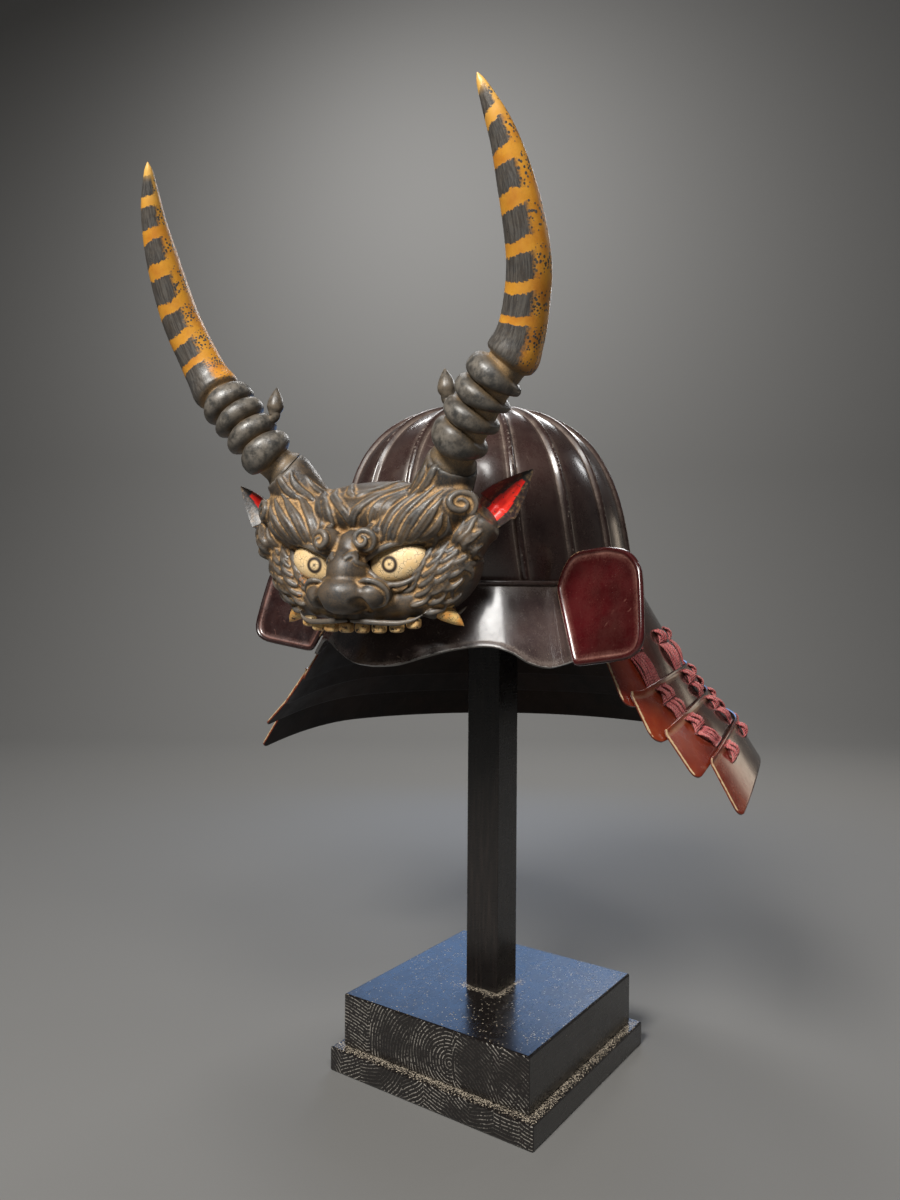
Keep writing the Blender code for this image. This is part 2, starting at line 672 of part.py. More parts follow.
def add_taper(bm, points, radii, sides):
    """A round bar along points, with its own radius at each. A radius of 0 is a sharp end."""
    rings = []
    for i, (point, radius) in enumerate(zip(points, radii)):
        along = (points[min(i + 1, len(points) - 1)] - points[max(i - 1, 0)]).normalized()
        across = along.cross(Vector((0, 1, 0))).normalized()
        over = across.cross(along).normalized()
        if radius == 0.0:
            rings.append([point.copy()])
            continue
        rings.append([point + (across * math.cos(ARC * s / sides) + over * math.sin(ARC * s / sides)) * radius
                      for s in range(sides)])
    add_rings(bm, rings)


def add_lock(bm, lock, side):
    root, tip = face_point(lock["root"], side), face_point(lock["tip"], side)
    thick = lock["thick"] * FACE_WIDE
    points, radii = [], []
    for i in range(6):
        t = i / 5
        bow = Vector((side * 0.05, 0, -0.05)) * FACE_WIDE * math.sin(math.pi * t)
        points.append(root.lerp(tip, t) + bow)
        radii.append(thick * (0.45, 1.0, 0.95, 0.75, 0.45, 0.0)[i])
    first = points[0] - (points[1] - points[0]) * 0.4
    add_taper(bm, [first] + points, [0.0] + radii, 8)


def horn_point(share, side=1):
    """A point on the horn's middle line."""
    rise, spread, reach = smooth_row(HORN_LINE, share)
    root = face_point(HORN_ROOT, side)
    return root + Vector((side * spread * HORN_SPREAD, -reach * HORN_REACH, rise * HORN_RISE))


def horn_profile():
    """Shares of the length with shares of the radius: four rings, then the smooth tapered horn."""
    rows = [(0.0, 1.12)]
    for i in range(HORN_RING_COUNT):
        middle = HORN_RING_FROM + HORN_RING_STEP * (i + 0.5)
        half = HORN_RING_STEP * 0.40
        rows += [(middle - half, HORN_CORE_RADIUS), (middle - half * 0.6, HORN_RING_RADIUS * 0.95),
                 (middle, HORN_RING_RADIUS), (middle + half * 0.6, HORN_RING_RADIUS * 0.95),
                 (middle + half, HORN_CORE_RADIUS)]
    start = HORN_RING_FROM + HORN_RING_STEP * HORN_RING_COUNT + HORN_RING_STEP * 0.25
    rows.append((start, HORN_CORE_RADIUS))
    for share, radius in HORN_TAPER:
        rows.append((start + (1.0 - start) * share, radius))
    return rows


def build_horns(lacquer, crest):
    rows = horn_profile()
    foot = horn_point(0.0) + horn_direction() * GAP
    points = [foot, foot + horn_direction() * HORN_RADIUS * 0.2] + [horn_point(share) for share, _ in rows[1:]]
    radii = [rows[0][1]] + [radius for _, radius in rows]
    bm = bmesh.new()
    add_taper(bm, points, [radius * HORN_RADIUS for radius in radii], RING_SIDES)
    horn = add_object("horn_left", bm, lacquer, crest)
    middle = horn_point(HORN_RING_FROM + HORN_RING_STEP * BUD_RING)
    inward = Vector((-0.80, 0.05, 0.35)).normalized()
    root = middle + inward * HORN_RADIUS * 0.9
    knee = middle + inward * HORN_RADIUS * (HORN_RING_RADIUS + 0.15)
    stem = Vector((-0.10, 0.0, 1.0)).normalized()
    tips = [root, knee]
    radii = [BUD_RADIUS * 0.75, BUD_RADIUS * 0.55]
    for t, r in ((0.18, 0.75), (0.36, 1.0), (0.62, 0.78), (0.85, 0.35), (1.0, 0.0)):
        tips.append(knee + stem * BUD_LONG * t)
        radii.append(BUD_RADIUS * r)
    bm = bmesh.new()
    add_taper(bm, tips, radii, 8)
    add_cutter("horn_bud", bm, horn, "UNION", crest)
    mirror_copy(horn, "horn_right")


def seat_cutter(bm, seat, direction, radius, long):
    """A short drum whose foot is the flat seat of a horn, an ear or a tusk."""
    turn = Vector((0, 0, 1)).rotation_difference(direction).to_matrix().to_4x4()
    place = Matrix.Translation(seat + direction * long / 2) @ turn
    bmesh.ops.create_cone(bm, cap_ends=True, segments=18, radius1=radius, radius2=radius, depth=long, matrix=place)


def horn_direction(side=1):
    return (horn_point(0.05, side) - horn_point(0.0, side)).normalized()


def ear_direction(side=1):
    return Vector((side * 0.58, 0.16, 0.80)).normalized()


def tusk_direction(side=1):
    return Vector((side * 0.78, 0.26, -0.36)).normalized()


def build_face(lacquer, crest):
    bm = bmesh.new()
    for mass in FACE_MASSES:
        for side in ((1, -1) if mass["side"] else (1,)):
            add_mass(bm, mass, side)
    for side in (1, -1):
        for lock in FACE_LOCKS:
            add_lock(bm, lock, side)
        root = face_point(HORN_ROOT, side)
        up = horn_direction(side)
        start = face_point((0.50, 0.22, 0.80), side)
        points = [start, start.lerp(root, 0.5), root, root + up * HORN_RADIUS * 0.4]
        add_taper(bm, points, [HORN_RADIUS * share for share in (1.47, 1.37, 1.2, 1.15)], 18)
        ear = face_point(EAR_ROOT, side)
        out = ear_direction(side)
        add_taper(bm, [ear - out * EAR_SEAT * 1.5, ear, ear + out * EAR_SEAT * 0.3],
                  [EAR_SEAT * 1.04, EAR_SEAT * 0.74, EAR_SEAT * 0.67], 14)
        tusk = face_point(TUSK_ROOT, side)
        out = tusk_direction(side)
        add_taper(bm, [tusk - out * TUSK_SEAT * 1.6, tusk, tusk + out * TUSK_SEAT * 0.3],
                  [TUSK_SEAT, TUSK_SEAT * 0.75, TUSK_SEAT * 0.7], 14)
    for across, drop in TEETH:
        for side in ((1, -1) if across else (1,)):
            mass = {"at": (across, 0.56 - across * 0.55, drop), "size": (0.062, 0.055, 0.075), "tilt": 0}
            add_mass(bm, mass, side)
    face = add_object("face", bm, lacquer, crest, smooth=60.0)
    remesh = face.modifiers.new("one_carving", "REMESH")
    remesh.mode = "VOXEL"
    remesh.voxel_size = FACE_VOXEL
    soften = face.modifiers.new("soften", "SMOOTH")
    soften.factor = 0.5
    soften.iterations = 2
    fewer = face.modifiers.new("fewer_faces", "DECIMATE")
    fewer.ratio = FACE_KEEP
    bm = bmesh.new()
    deep = FACE_DEEP
    place = Matrix.Translation((0, -CREST_BACK + deep / 2, RIM_HEIGHT - CREST_DROP + FACE_TALL / 2))
    bmesh.ops.create_cube(bm, size=1.0, matrix=place @ Matrix.Diagonal((3 * FACE_WIDE, deep, 3 * FACE_TALL, 1)))
    for side in (1, -1):
        seat_cutter(bm, face_point(HORN_ROOT, side), horn_direction(side), HORN_SEAT, HORN_SEAT * 1.4)
        seat_cutter(bm, face_point(EAR_ROOT, side), ear_direction(side), EAR_SEAT, EAR_SEAT * 1.5)
        seat_cutter(bm, face_point(TUSK_ROOT, side), tusk_direction(side), TUSK_SEAT, TUSK_SEAT * 2.0)
    add_cutter("face_seats", bm, face, parent=crest)


def build_ears(lacquer, crest):
    """A pointed, cupped leaf, open to the front and outside."""
    along = ear_direction()
    root = face_point(EAR_ROOT) + along * GAP
    hollow = Vector((0.45, -0.85, 0.1))
    hollow = (hollow - along * hollow.dot(along)).normalized()
    across = along.cross(hollow).normalized()
    outer, inner = [], []
    for t in (0.0, 0.12, 0.3, 0.5, 0.7, 0.86, 1.0):
        half = EAR_WIDE / 2 * (0.62 + 0.38 * math.sin(math.pi * min(1.0, t / 0.6) / 2)
                               if t < 0.3 else (1.0 - ((t - 0.3) / 0.7) ** 1.5) * 0.97 + 0.03)
        over, under = [], []
        for s in (-1.0, -0.6, 0.0, 0.6, 1.0):
            cup = (1.0 - s * s) * half * 0.85
            middle = root + along * EAR_LONG * t + across * half * s - hollow * cup
            edge = EAR_WALL * (1.0 - 0.6 * t)
            over.append(middle - hollow * edge * 0.5)
            under.append(middle + hollow * edge * 0.5)
        outer.append(over)
        inner.append(under)
    bm = bmesh.new()
    add_wall(bm, outer, inner)
    mirror_copy(add_object("ear_left", bm, lacquer, crest), "ear_right")


def build_tusks(ivory, crest):
    out = tusk_direction()
    root = face_point(TUSK_ROOT) + out * GAP
    curl = Vector((0, 0, -0.18))
    points, radii = [], []
    for t, r in ((0.0, 0.95), (0.25, 1.0), (0.5, 0.85), (0.78, 0.5), (1.0, 0.0)):
        points.append(root + (out + curl * t) * TUSK_LONG * t)
        radii.append(TUSK_RADIUS * r)
    bm = bmesh.new()
    add_taper(bm, points, radii, 10)
    mirror_copy(add_object("tusk_left", bm, ivory, crest), "tusk_right")


def build_bracket(iron):
    """The hidden block between the rim band and the back of the face."""
    yaw = math.radians(CREST_YAW)
    rim_wide, rim_long = BOWL_WIDE + RIM_PROUD, BOWL_LONG + RIM_PROUD
    low, high = RIM_HEIGHT + GAP, RIM_HEIGHT + GAP + BRACKET_TALL
    back, front = [], []
    for i in range(5):
        x = BRACKET_WIDE * (i / 4 - 0.5)
        rear = BOWL_SET_BACK - rim_long * math.sqrt(1.0 - (x / rim_wide) ** 2) - GAP
        face = (GAP - CREST_BACK + math.sin(yaw) * x) / math.cos(yaw) - BOWL_LONG - CREST_CLEAR
        back.append([Vector((x, rear, low)), Vector((x, rear - BRACKET_LEAN, high))])
        front.append([Vector((x, face, z)) for z in (low, high)])
    bm = bmesh.new()
    add_wall(bm, front, back)
    add_object("crest_bracket", bm, iron)


def build_crest(carved, horn, ear, ivory, iron):
    crest = bpy.data.objects.new("crest", None)
    bpy.context.scene.collection.objects.link(crest)
    crest.location = (0, -BOWL_LONG - CREST_CLEAR, 0)
    crest.rotation_euler = (0, 0, math.radians(CREST_YAW))
    build_face(carved, crest)
    build_horns(horn, crest)
    build_ears(ear, crest)
    build_tusks(ivory, crest)
    build_bracket(iron)


def main():
    clear_scene()
    wood = finish_colour("stained_wood", (0.012, 0.012, 0.014), 0.35)
    bowl = finish_colour("bowl_lacquer", (0.045, 0.022, 0.024), 0.22)
    plate = finish_colour("red_lacquer", (0.12, 0.018, 0.010), 0.20)
    cord = finish_colour("lacing_cord", (0.42, 0.10, 0.11), 0.85)
    carved = finish_colour("carved_lacquer", (0.030, 0.026, 0.022), 0.45)
    horn = finish_colour("horn_lacquer", (0.45, 0.20, 0.035), 0.35)
    ear = finish_colour("ear_lacquer", (0.035, 0.028, 0.025), 0.45)
    ivory = finish_colour("tusk_paint", (0.62, 0.38, 0.14), 0.45)
    iron = finish_colour("bracket_iron", (0.02, 0.018, 0.017), 0.5, 0.6)
    build_stand(wood)
    build_bowl(bowl)
    build_rim(bowl)
    build_visor(bowl)
    build_lames(plate)
    build_flaps(plate)
    build_lacing(cord)
    build_crest(carved, horn, ear, ivory, iron)


main()
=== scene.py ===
import math
import random

import bmesh
import bpy
import numpy as np
from mathutils import Matrix, Vector
from mathutils.bvhtree import BVHTree


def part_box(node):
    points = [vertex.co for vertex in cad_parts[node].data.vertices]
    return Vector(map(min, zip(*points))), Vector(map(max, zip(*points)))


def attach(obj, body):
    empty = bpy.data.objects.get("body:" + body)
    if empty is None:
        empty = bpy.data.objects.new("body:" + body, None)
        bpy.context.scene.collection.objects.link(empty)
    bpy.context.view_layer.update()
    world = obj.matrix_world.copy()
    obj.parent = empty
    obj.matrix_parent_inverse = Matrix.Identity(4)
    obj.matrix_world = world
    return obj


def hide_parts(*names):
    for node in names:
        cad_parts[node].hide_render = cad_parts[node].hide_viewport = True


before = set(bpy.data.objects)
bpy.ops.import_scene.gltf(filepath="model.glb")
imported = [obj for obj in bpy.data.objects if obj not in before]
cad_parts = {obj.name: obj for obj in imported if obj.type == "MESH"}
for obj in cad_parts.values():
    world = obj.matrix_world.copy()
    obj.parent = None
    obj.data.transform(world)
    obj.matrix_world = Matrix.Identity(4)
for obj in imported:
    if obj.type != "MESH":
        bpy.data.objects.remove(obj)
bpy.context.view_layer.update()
mm = 0.001
fullTurn = 2.0 * math.pi


# Numbers

def within(value, low=0.0, high=1.0):
    return min(high, max(low, value))


def bell(x, middle, half):
    return math.exp(-((x - middle) / half) ** 2)


def curveThrough(rows, x):
    # reads a table whose rows start with their place, on a smooth curve through all of them
    last = len(rows) - 1
    i = max(k for k in range(last) if rows[k][0] <= x or k == 0)
    before, here, after, beyond = rows[max(0, i - 1)], rows[i], rows[i + 1], rows[min(last, i + 2)]
    span = after[0] - here[0]
    t = (x - here[0]) / span
    values = []
    for k in range(1, len(here)):
        slopeIn = (after[k] - before[k]) / (after[0] - before[0]) * span
        slopeOut = (beyond[k] - here[k]) / (beyond[0] - here[0]) * span
        values.append((2 * t ** 3 - 3 * t ** 2 + 1) * here[k] + (t ** 3 - 2 * t ** 2 + t) * slopeIn
                      + (3 * t ** 2 - 2 * t ** 3) * after[k] + (t ** 3 - t ** 2) * slopeOut)
    return values


def pathThrough(points, steps):
    # a smooth path through points, as a list of vectors
    rows = [(i,) + tuple(p) for i, p in enumerate(points)]
    return [Vector(curveThrough(rows, (len(points) - 1) * s / steps)) for s in range(steps + 1)]


# Objects and meshes

def addObject(name, data):
    made = bpy.data.objects.new(name, data)
    bpy.context.scene.collection.objects.link(made)
    return made


def meshFrom(name, bm):
    mesh = bpy.data.meshes.new(name)
    bm.to_mesh(mesh)
    bm.free()
    return mesh


def meshOnly(guide):
    # the plain mesh that an object's modifiers make; the object itself goes
    made = bpy.data.meshes.new_from_object(guide.evaluated_get(bpy.context.evaluated_depsgraph_get()))
    bpy.data.objects.remove(guide)
    return made


def declare(piece, nodes):
    if nodes:
        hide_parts(*nodes)
    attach(piece, "root")


def newPiece(name, bm, material, nodes, smoothAngle=50.0):
    # one finished piece that stands for its CAD nodes
    piece = addObject(name, meshFrom(name, bm))
    piece.data.materials.append(material)
    piece.data.shade_smooth()
    piece.data.set_sharp_from_angle(angle=math.radians(smoothAngle))
    declare(piece, nodes)
    return piece


def mirrorPiece(piece, name, nodes, place=Matrix.Identity(4)):
    # the other one of a pair; place is the frame in which the pair is mirrored
    mesh = piece.data.copy()
    mesh.name = name
    mesh.transform(place @ Matrix.Diagonal((-1, 1, 1, 1)) @ place.inverted())
    mesh.flip_normals()
    other = addObject(name, mesh)
    declare(other, nodes)
    return other


def skin(bm, rings, caps=True):
    # joins rings of points; a ring of one point is a pole
    rows = [[bm.verts.new(p) for p in ring] for ring in rings]
    for low, high in zip(rows, rows[1:]):
        count = max(len(low), len(high))
        for i in range(count):
            j = (i + 1) % count
            corners = [low[i % len(low)], low[j % len(low)], high[j % len(high)], high[i % len(high)]]
            bm.faces.new(list(dict.fromkeys(corners)))
    if caps:
        for row in (rows[0], rows[-1]):
            if len(row) > 2:
                bm.faces.new(row)
    return rows


def closedSheet(bm, over, under):
    # a closed plate from two grids of points, its outer and its inner side
    outer = [[bm.verts.new(p) for p in row] for row in over]
    inner = [[bm.verts.new(p) for p in row] for row in under]
    rows, columns = len(outer) - 1, len(outer[0]) - 1
    for r in range(rows):
        for c in range(columns):
            bm.faces.new((outer[r][c], outer[r][c + 1], outer[r + 1][c + 1], outer[r + 1][c]))
            bm.faces.new((inner[r][c], inner[r + 1][c], inner[r + 1][c + 1], inner[r][c + 1]))
    for r in range(rows):
        bm.faces.new((outer[r][0], outer[r + 1][0], inner[r + 1][0], inner[r][0]))
        bm.faces.new((outer[r][-1], inner[r][-1], inner[r + 1][-1], outer[r + 1][-1]))
    for c in range(columns):
        bm.faces.new((outer[0][c], inner[0][c], inner[0][c + 1], outer[0][c + 1]))
        bm.faces.new((outer[-1][c], outer[-1][c + 1], inner[-1][c + 1], inner[-1][c]))


def facesOut(bm):
    bmesh.ops.recalc_face_normals(bm, faces=bm.faces)


def taper(bm, points, radii, sides):
    # a round bar along points; a radius of 0 is a sharp end
    rings = []
    side = None
    for i, (point, radius) in enumerate(zip(points, radii)):
        along = (points[min(i + 1, len(points) - 1)] - points[max(i - 1, 0)]).normalized()
        side = along.cross(Vector((0, 1, 0)) if side is None else side.cross(along)).normalized()
        over = side.cross(along).normalized()
        if radius <= 0.0:
            rings.append([point.copy()])
            continue
        rings.append([point + side * math.cos(fullTurn * s / sides) * radius
                      + over * math.sin(fullTurn * s / sides) * radius for s in range(sides)])
    skin(bm, rings)


def pointValues(mesh, name, values):
    # a number on each point, for the materials
    attribute = mesh.attributes.new(name, "FLOAT", "POINT")
    attribute.data.foreach_set("value", np.asarray(values, dtype=np.float32))


def pointVectors(mesh, name, values):
    attribute = mesh.attributes.new(name, "FLOAT_VECTOR", "POINT")
    attribute.data.foreach_set("vector", np.asarray(values, dtype=np.float32).ravel())


def lacquerMarks(piece, hollow, wear, tint=0.0):
    # dust, wear and tint on each point; one number stands for all points
    for name, values in (("hollow", hollow), ("wear", wear), ("tint", tint)):
        pointValues(piece.data, name, np.broadcast_to(values, len(piece.data.vertices)))


def meshPoints(mesh):
    points = np.empty(len(mesh.vertices) * 3, dtype=np.float64)
    mesh.vertices.foreach_get("co", points)
    return points.reshape(-1, 3)


def hollows(mesh, rounds):
    # how far each point lies under the smoothed surface round it, in mm
    points = meshPoints(mesh)
    edges = np.empty(len(mesh.edges) * 2, dtype=np.int64)
    mesh.edges.foreach_get("vertices", edges)
    a, b = edges.reshape(-1, 2).T
    count = np.bincount(np.concatenate((a, b)), minlength=len(points)).reshape(-1, 1)
    smooth = points.copy()
    for _ in range(rounds):
        total = np.zeros_like(smooth)
        np.add.at(total, a, smooth[b])
        np.add.at(total, b, smooth[a])
        smooth = 0.4 * smooth + 0.6 * total / np.maximum(count, 1)
    normals = np.empty(len(points) * 3, dtype=np.float64)
    mesh.vertices.foreach_get("normal", normals)
    return ((smooth - points) * normals.reshape(-1, 3)).sum(axis=1) / mm


# Shader helpers: a socket knows its own node tree

def treeOf(*values):
    return next(value.id_data for value in values if isinstance(value, bpy.types.NodeSocket))


def setInput(socket, value):
    if isinstance(value, bpy.types.NodeSocket):
        socket.id_data.links.new(value, socket)
    else:
        socket.default_value = value


def setInputs(node, **inputs):
    # inputs by name, with _ for a space
    for key, value in inputs.items():
        setInput(node.inputs[key.replace("_", " ")], value)
    return node


def addNode(tree, kind, settings=None, **inputs):
    node = tree.nodes.new(kind)
    for key, value in (settings or {}).items():
        setattr(node, key, value)
    return setInputs(node, **inputs)


def maths(operation, a, b=None, c=None, clamp=False):
    node = addNode(treeOf(a, b, c), "ShaderNodeMath", {"operation": operation, "use_clamp": clamp})
    for socket, value in zip(node.inputs, (a, b, c)):
        if value is not None:
            setInput(socket, value)
    return node.outputs[0]


def times(a, b):
    return maths("MULTIPLY", a, b)


def plus(a, b):
    return maths("ADD", a, b)


def timesPlus(a, b, c, clamp=False):
    return maths("MULTIPLY_ADD", a, b, c, clamp)


def vectorMaths(operation, vector, *others, **inputs):
    node = addNode(treeOf(vector), "ShaderNodeVectorMath", {"operation": operation}, **inputs)
    for socket, value in zip(node.inputs, (vector, *others)):
        setInput(socket, value)
    return node.outputs[0]


def mixColour(factor, a, b):
    node = addNode(treeOf(factor), "ShaderNodeMix", {"data_type": "RGBA"})
    # the colour sockets of this node are its seventh and eighth
    for index, value in ((0, factor), (6, a), (7, b)):
        setInput(node.inputs[index], value)
    return node.outputs[2]


def ramp(value, low, high, outLow=0.0, outHigh=1.0):
    return addNode(treeOf(value), "ShaderNodeMapRange", {"interpolation_type": "SMOOTHSTEP"}, Value=value,
                   From_Min=low, From_Max=high, To_Min=outLow, To_Max=outHigh).outputs["Result"]


def noise(place, scale, detail=4.0, roughness=0.6):
    return addNode(treeOf(place), "ShaderNodeTexNoise", None, Vector=place, Scale=scale, Detail=detail,
                   Roughness=roughness).outputs["Fac"]


def cells(place, scale, **settings):
    return addNode(treeOf(place), "ShaderNodeTexVoronoi", settings, Vector=place, Scale=scale)


def axesOf(vector):
    return addNode(treeOf(vector), "ShaderNodeSeparateXYZ", None, Vector=vector).outputs


def objectPlace(tree, stretch=(1, 1, 1)):
    place = tree.nodes.new("ShaderNodeTexCoord").outputs["Object"]
    return addNode(tree, "ShaderNodeMapping", None, Vector=place, Scale=stretch).outputs["Vector"]


def readPoint(tree, name, output="Fac"):
    return addNode(tree, "ShaderNodeAttribute", {"attribute_name": name}).outputs[output]


def bump(shader, height, strength, distance):
    node = addNode(shader.id_data, "ShaderNodeBump", None, Strength=strength, Distance=distance, Height=height)
    setInputs(shader, Normal=node.outputs["Normal"])


def tone(red, green, blue):
    # a screen colour, 0 to 255, as the linear colour that shaders use
    shares = [value / 255 for value in (red, green, blue)]
    return (*(v / 12.92 if v <= 0.04045 else ((v + 0.055) / 1.055) ** 2.4 for v in shares), 1.0)


def newMaterial(name):
    material = bpy.data.materials.new(name)
    material.use_nodes = True
    tree = material.node_tree
    return material, tree, tree.nodes["Principled BSDF"]


def newGroup(name, inputs, outputs, kind="ShaderNodeTree"):
    # inputs: name, type and starting value; outputs: name and type
    group = bpy.data.node_groups.new(name, kind)
    for label, sort, value in inputs:
        socket = group.interface.new_socket(label, in_out="INPUT", socket_type="NodeSocket" + sort)
        if value is not None:
            socket.default_value = value
    for label, sort in outputs:
        group.interface.new_socket(label, in_out="OUTPUT", socket_type="NodeSocket" + sort)
    return group, group.nodes.new("NodeGroupInput").outputs, group.nodes.new("NodeGroupOutput").inputs


def useGroup(group, **inputs):
    return addNode(treeOf(*inputs.values()), "ShaderNodeGroup", {"node_tree": group}, **inputs).outputs


def makeWearGroup():
    # bare or worn paint where the mask is high, broken up by noise
    group, given, result = newGroup(
        "wornPaint",
        [("Vector", "Vector", None), ("Color", "Color", None), ("Worn", "Color", None), ("Mask", "Float", 0.0),
         ("Scale", "Float", 400.0), ("Amount", "Float", 0.5)],
        [("Color", "Color"), ("Worn", "Float")])
    grain = noise(given["Vector"], given["Scale"], 6.0, 0.7)
    level = timesPlus(given["Amount"], 0.9, times(given["Mask"], 0.9))
    worn = ramp(plus(level, grain), 1.08, 1.22)
    setInput(result["Color"], mixColour(worn, given["Color"], given["Worn"]))
    setInput(result["Worn"], worn)
    return group


def makeDustGroup():
    # dust that lies in hollows and thinly, in patches, elsewhere
    group, given, result = newGroup(
        "dustFilm",
        [("Vector", "Vector", None), ("Color", "Color", None), ("Dust", "Color", None), ("Hollow", "Float", 0.0),
         ("Scale", "Float", 90.0), ("Film", "Float", 0.1)],
        [("Color", "Color"), ("Dust", "Float")])
    cloud = noise(given["Vector"], given["Scale"], 5.0, 0.65)
    grit = noise(given["Vector"], times(given["Scale"], 14.0), 3.0, 0.7)
    broken = ramp(timesPlus(grit, 0.55, times(cloud, 0.55)), 0.40, 0.68)
    dust = timesPlus(given["Hollow"], timesPlus(broken, 0.75, 0.25), times(given["Film"], broken), clamp=True)
    setInput(result["Color"], mixColour(dust, given["Color"], given["Dust"]))
    setInput(result["Dust"], dust)
    return group


def makeScratchGroup():
    # fine scratches in two directions, and small specks
    group, given, result = newGroup(
        "fineScratches", [("Vector", "Vector", None), ("Scale", "Float", 60.0), ("Amount", "Float", 0.5)],
        [("Scratch", "Float"), ("Speck", "Float")])
    lines = []
    for turn, stretch in ((0.5, 14.0), (2.2, 11.0)):
        turned = addNode(group, "ShaderNodeMapping", None, Vector=given["Vector"],
                         Rotation=(turn, turn * 0.6, turn), Scale=(1.0, stretch, 2.0)).outputs["Vector"]
        lines.append(ramp(noise(turned, given["Scale"], 2.0, 0.5), 0.715, 0.76))
    specks = ramp(cells(given["Vector"], times(given["Scale"], 4.0)).outputs["Distance"], 0.12, 0.06)
    setInput(result["Scratch"], times(maths("MAXIMUM", *lines), given["Amount"]))
    setInput(result["Speck"], times(specks, given["Amount"]))
    return group


wearGroup, dustGroup, scratchGroup = makeWearGroup(), makeDustGroup(), makeScratchGroup()


# Materials

def lacquer(name, look):
    # glossy lacquer with cloudy colour, dust in hollows, worn edges and fine scratches
    material, tree, shader = newMaterial(name)
    place = objectPlace(tree)
    cloud = ramp(noise(place, look["cloudScale"]), 0.35, 0.70)
    colour = mixColour(cloud, look["colour"], look["second"])
    colour = mixColour(readPoint(tree, "tint"), colour, look["tint"])
    worn = useGroup(wearGroup, Vector=place, Color=colour, Worn=look["worn"], Mask=readPoint(tree, "wear"),
                    Scale=look["wearScale"], Amount=look["wearAmount"])
    dusty = useGroup(dustGroup, Vector=place, Color=worn["Color"], Dust=look["dust"],
                     Hollow=readPoint(tree, "hollow"), Scale=look["dustScale"], Film=look["film"])
    marks = useGroup(scratchGroup, Vector=place, Scale=look["scratchScale"], Amount=look["scratch"])
    colour = mixColour(marks["Scratch"], dusty["Color"], look["dust"])
    colour = mixColour(marks["Speck"], colour, look["dust"])
    rough = noise(place, look["cloudScale"] * 3.0, 5.0, 0.7)
    rough = ramp(rough, 0.3, 0.75, look["gloss"], look["gloss"] + 0.16)
    rough = timesPlus(dusty["Dust"], 0.5, rough, clamp=True)
    rough = timesPlus(worn["Worn"], 0.3, rough, clamp=True)
    setInputs(shader, Base_Color=colour, Roughness=rough, Specular_IOR_Level=look["shine"],
              Coat_Weight=look["coat"], Coat_Roughness=look["gloss"] * 0.8)
    height = timesPlus(worn["Worn"], -0.25, noise(place, look["cloudScale"] * 1.5, 3.0, 0.5))
    bump(shader, height, look["ripple"], 0.6 * mm)
    return material


bowlLook = {
    "colour": tone(40, 25, 23), "second": tone(58, 39, 36), "tint": tone(96, 74, 70),
    "worn": tone(140, 128, 118), "dust": tone(146, 130, 118), "cloudScale": 16.0, "wearScale": 300.0,
    "wearAmount": 0.28, "dustScale": 60.0, "film": 0.07, "scratchScale": 60.0, "scratch": 0.20, "gloss": 0.20,
    "coat": 0.5, "shine": 0.5, "ripple": 0.25,
}
visorLook = dict(bowlLook, colour=tone(44, 33, 34), second=tone(70, 56, 55), scratch=0.80, film=0.12, gloss=0.12,
                 scratchScale=90.0, worn=tone(112, 108, 104))
# the flaps' tint colour is painted shade, and only the right flap takes it
flapLook = dict(bowlLook, colour=tone(48, 8, 10), second=tone(74, 16, 20), tint=tone(24, 12, 12),
                worn=tone(190, 150, 112), dust=tone(150, 104, 92), film=0.05, gloss=0.16, wearAmount=0.24)
plateLook = dict(bowlLook, colour=tone(112, 28, 14), second=tone(150, 62, 26), tint=tone(52, 30, 28),
                 worn=tone(204, 176, 136), dust=tone(160, 122, 92), film=0.07, gloss=0.15, wearAmount=0.26)
insideLook = dict(bowlLook, colour=tone(14, 9, 7), second=tone(44, 26, 15), tint=tone(26, 15, 10), film=0.03,
                  gloss=0.36, coat=0.0, shine=0.18, scratch=0.1)


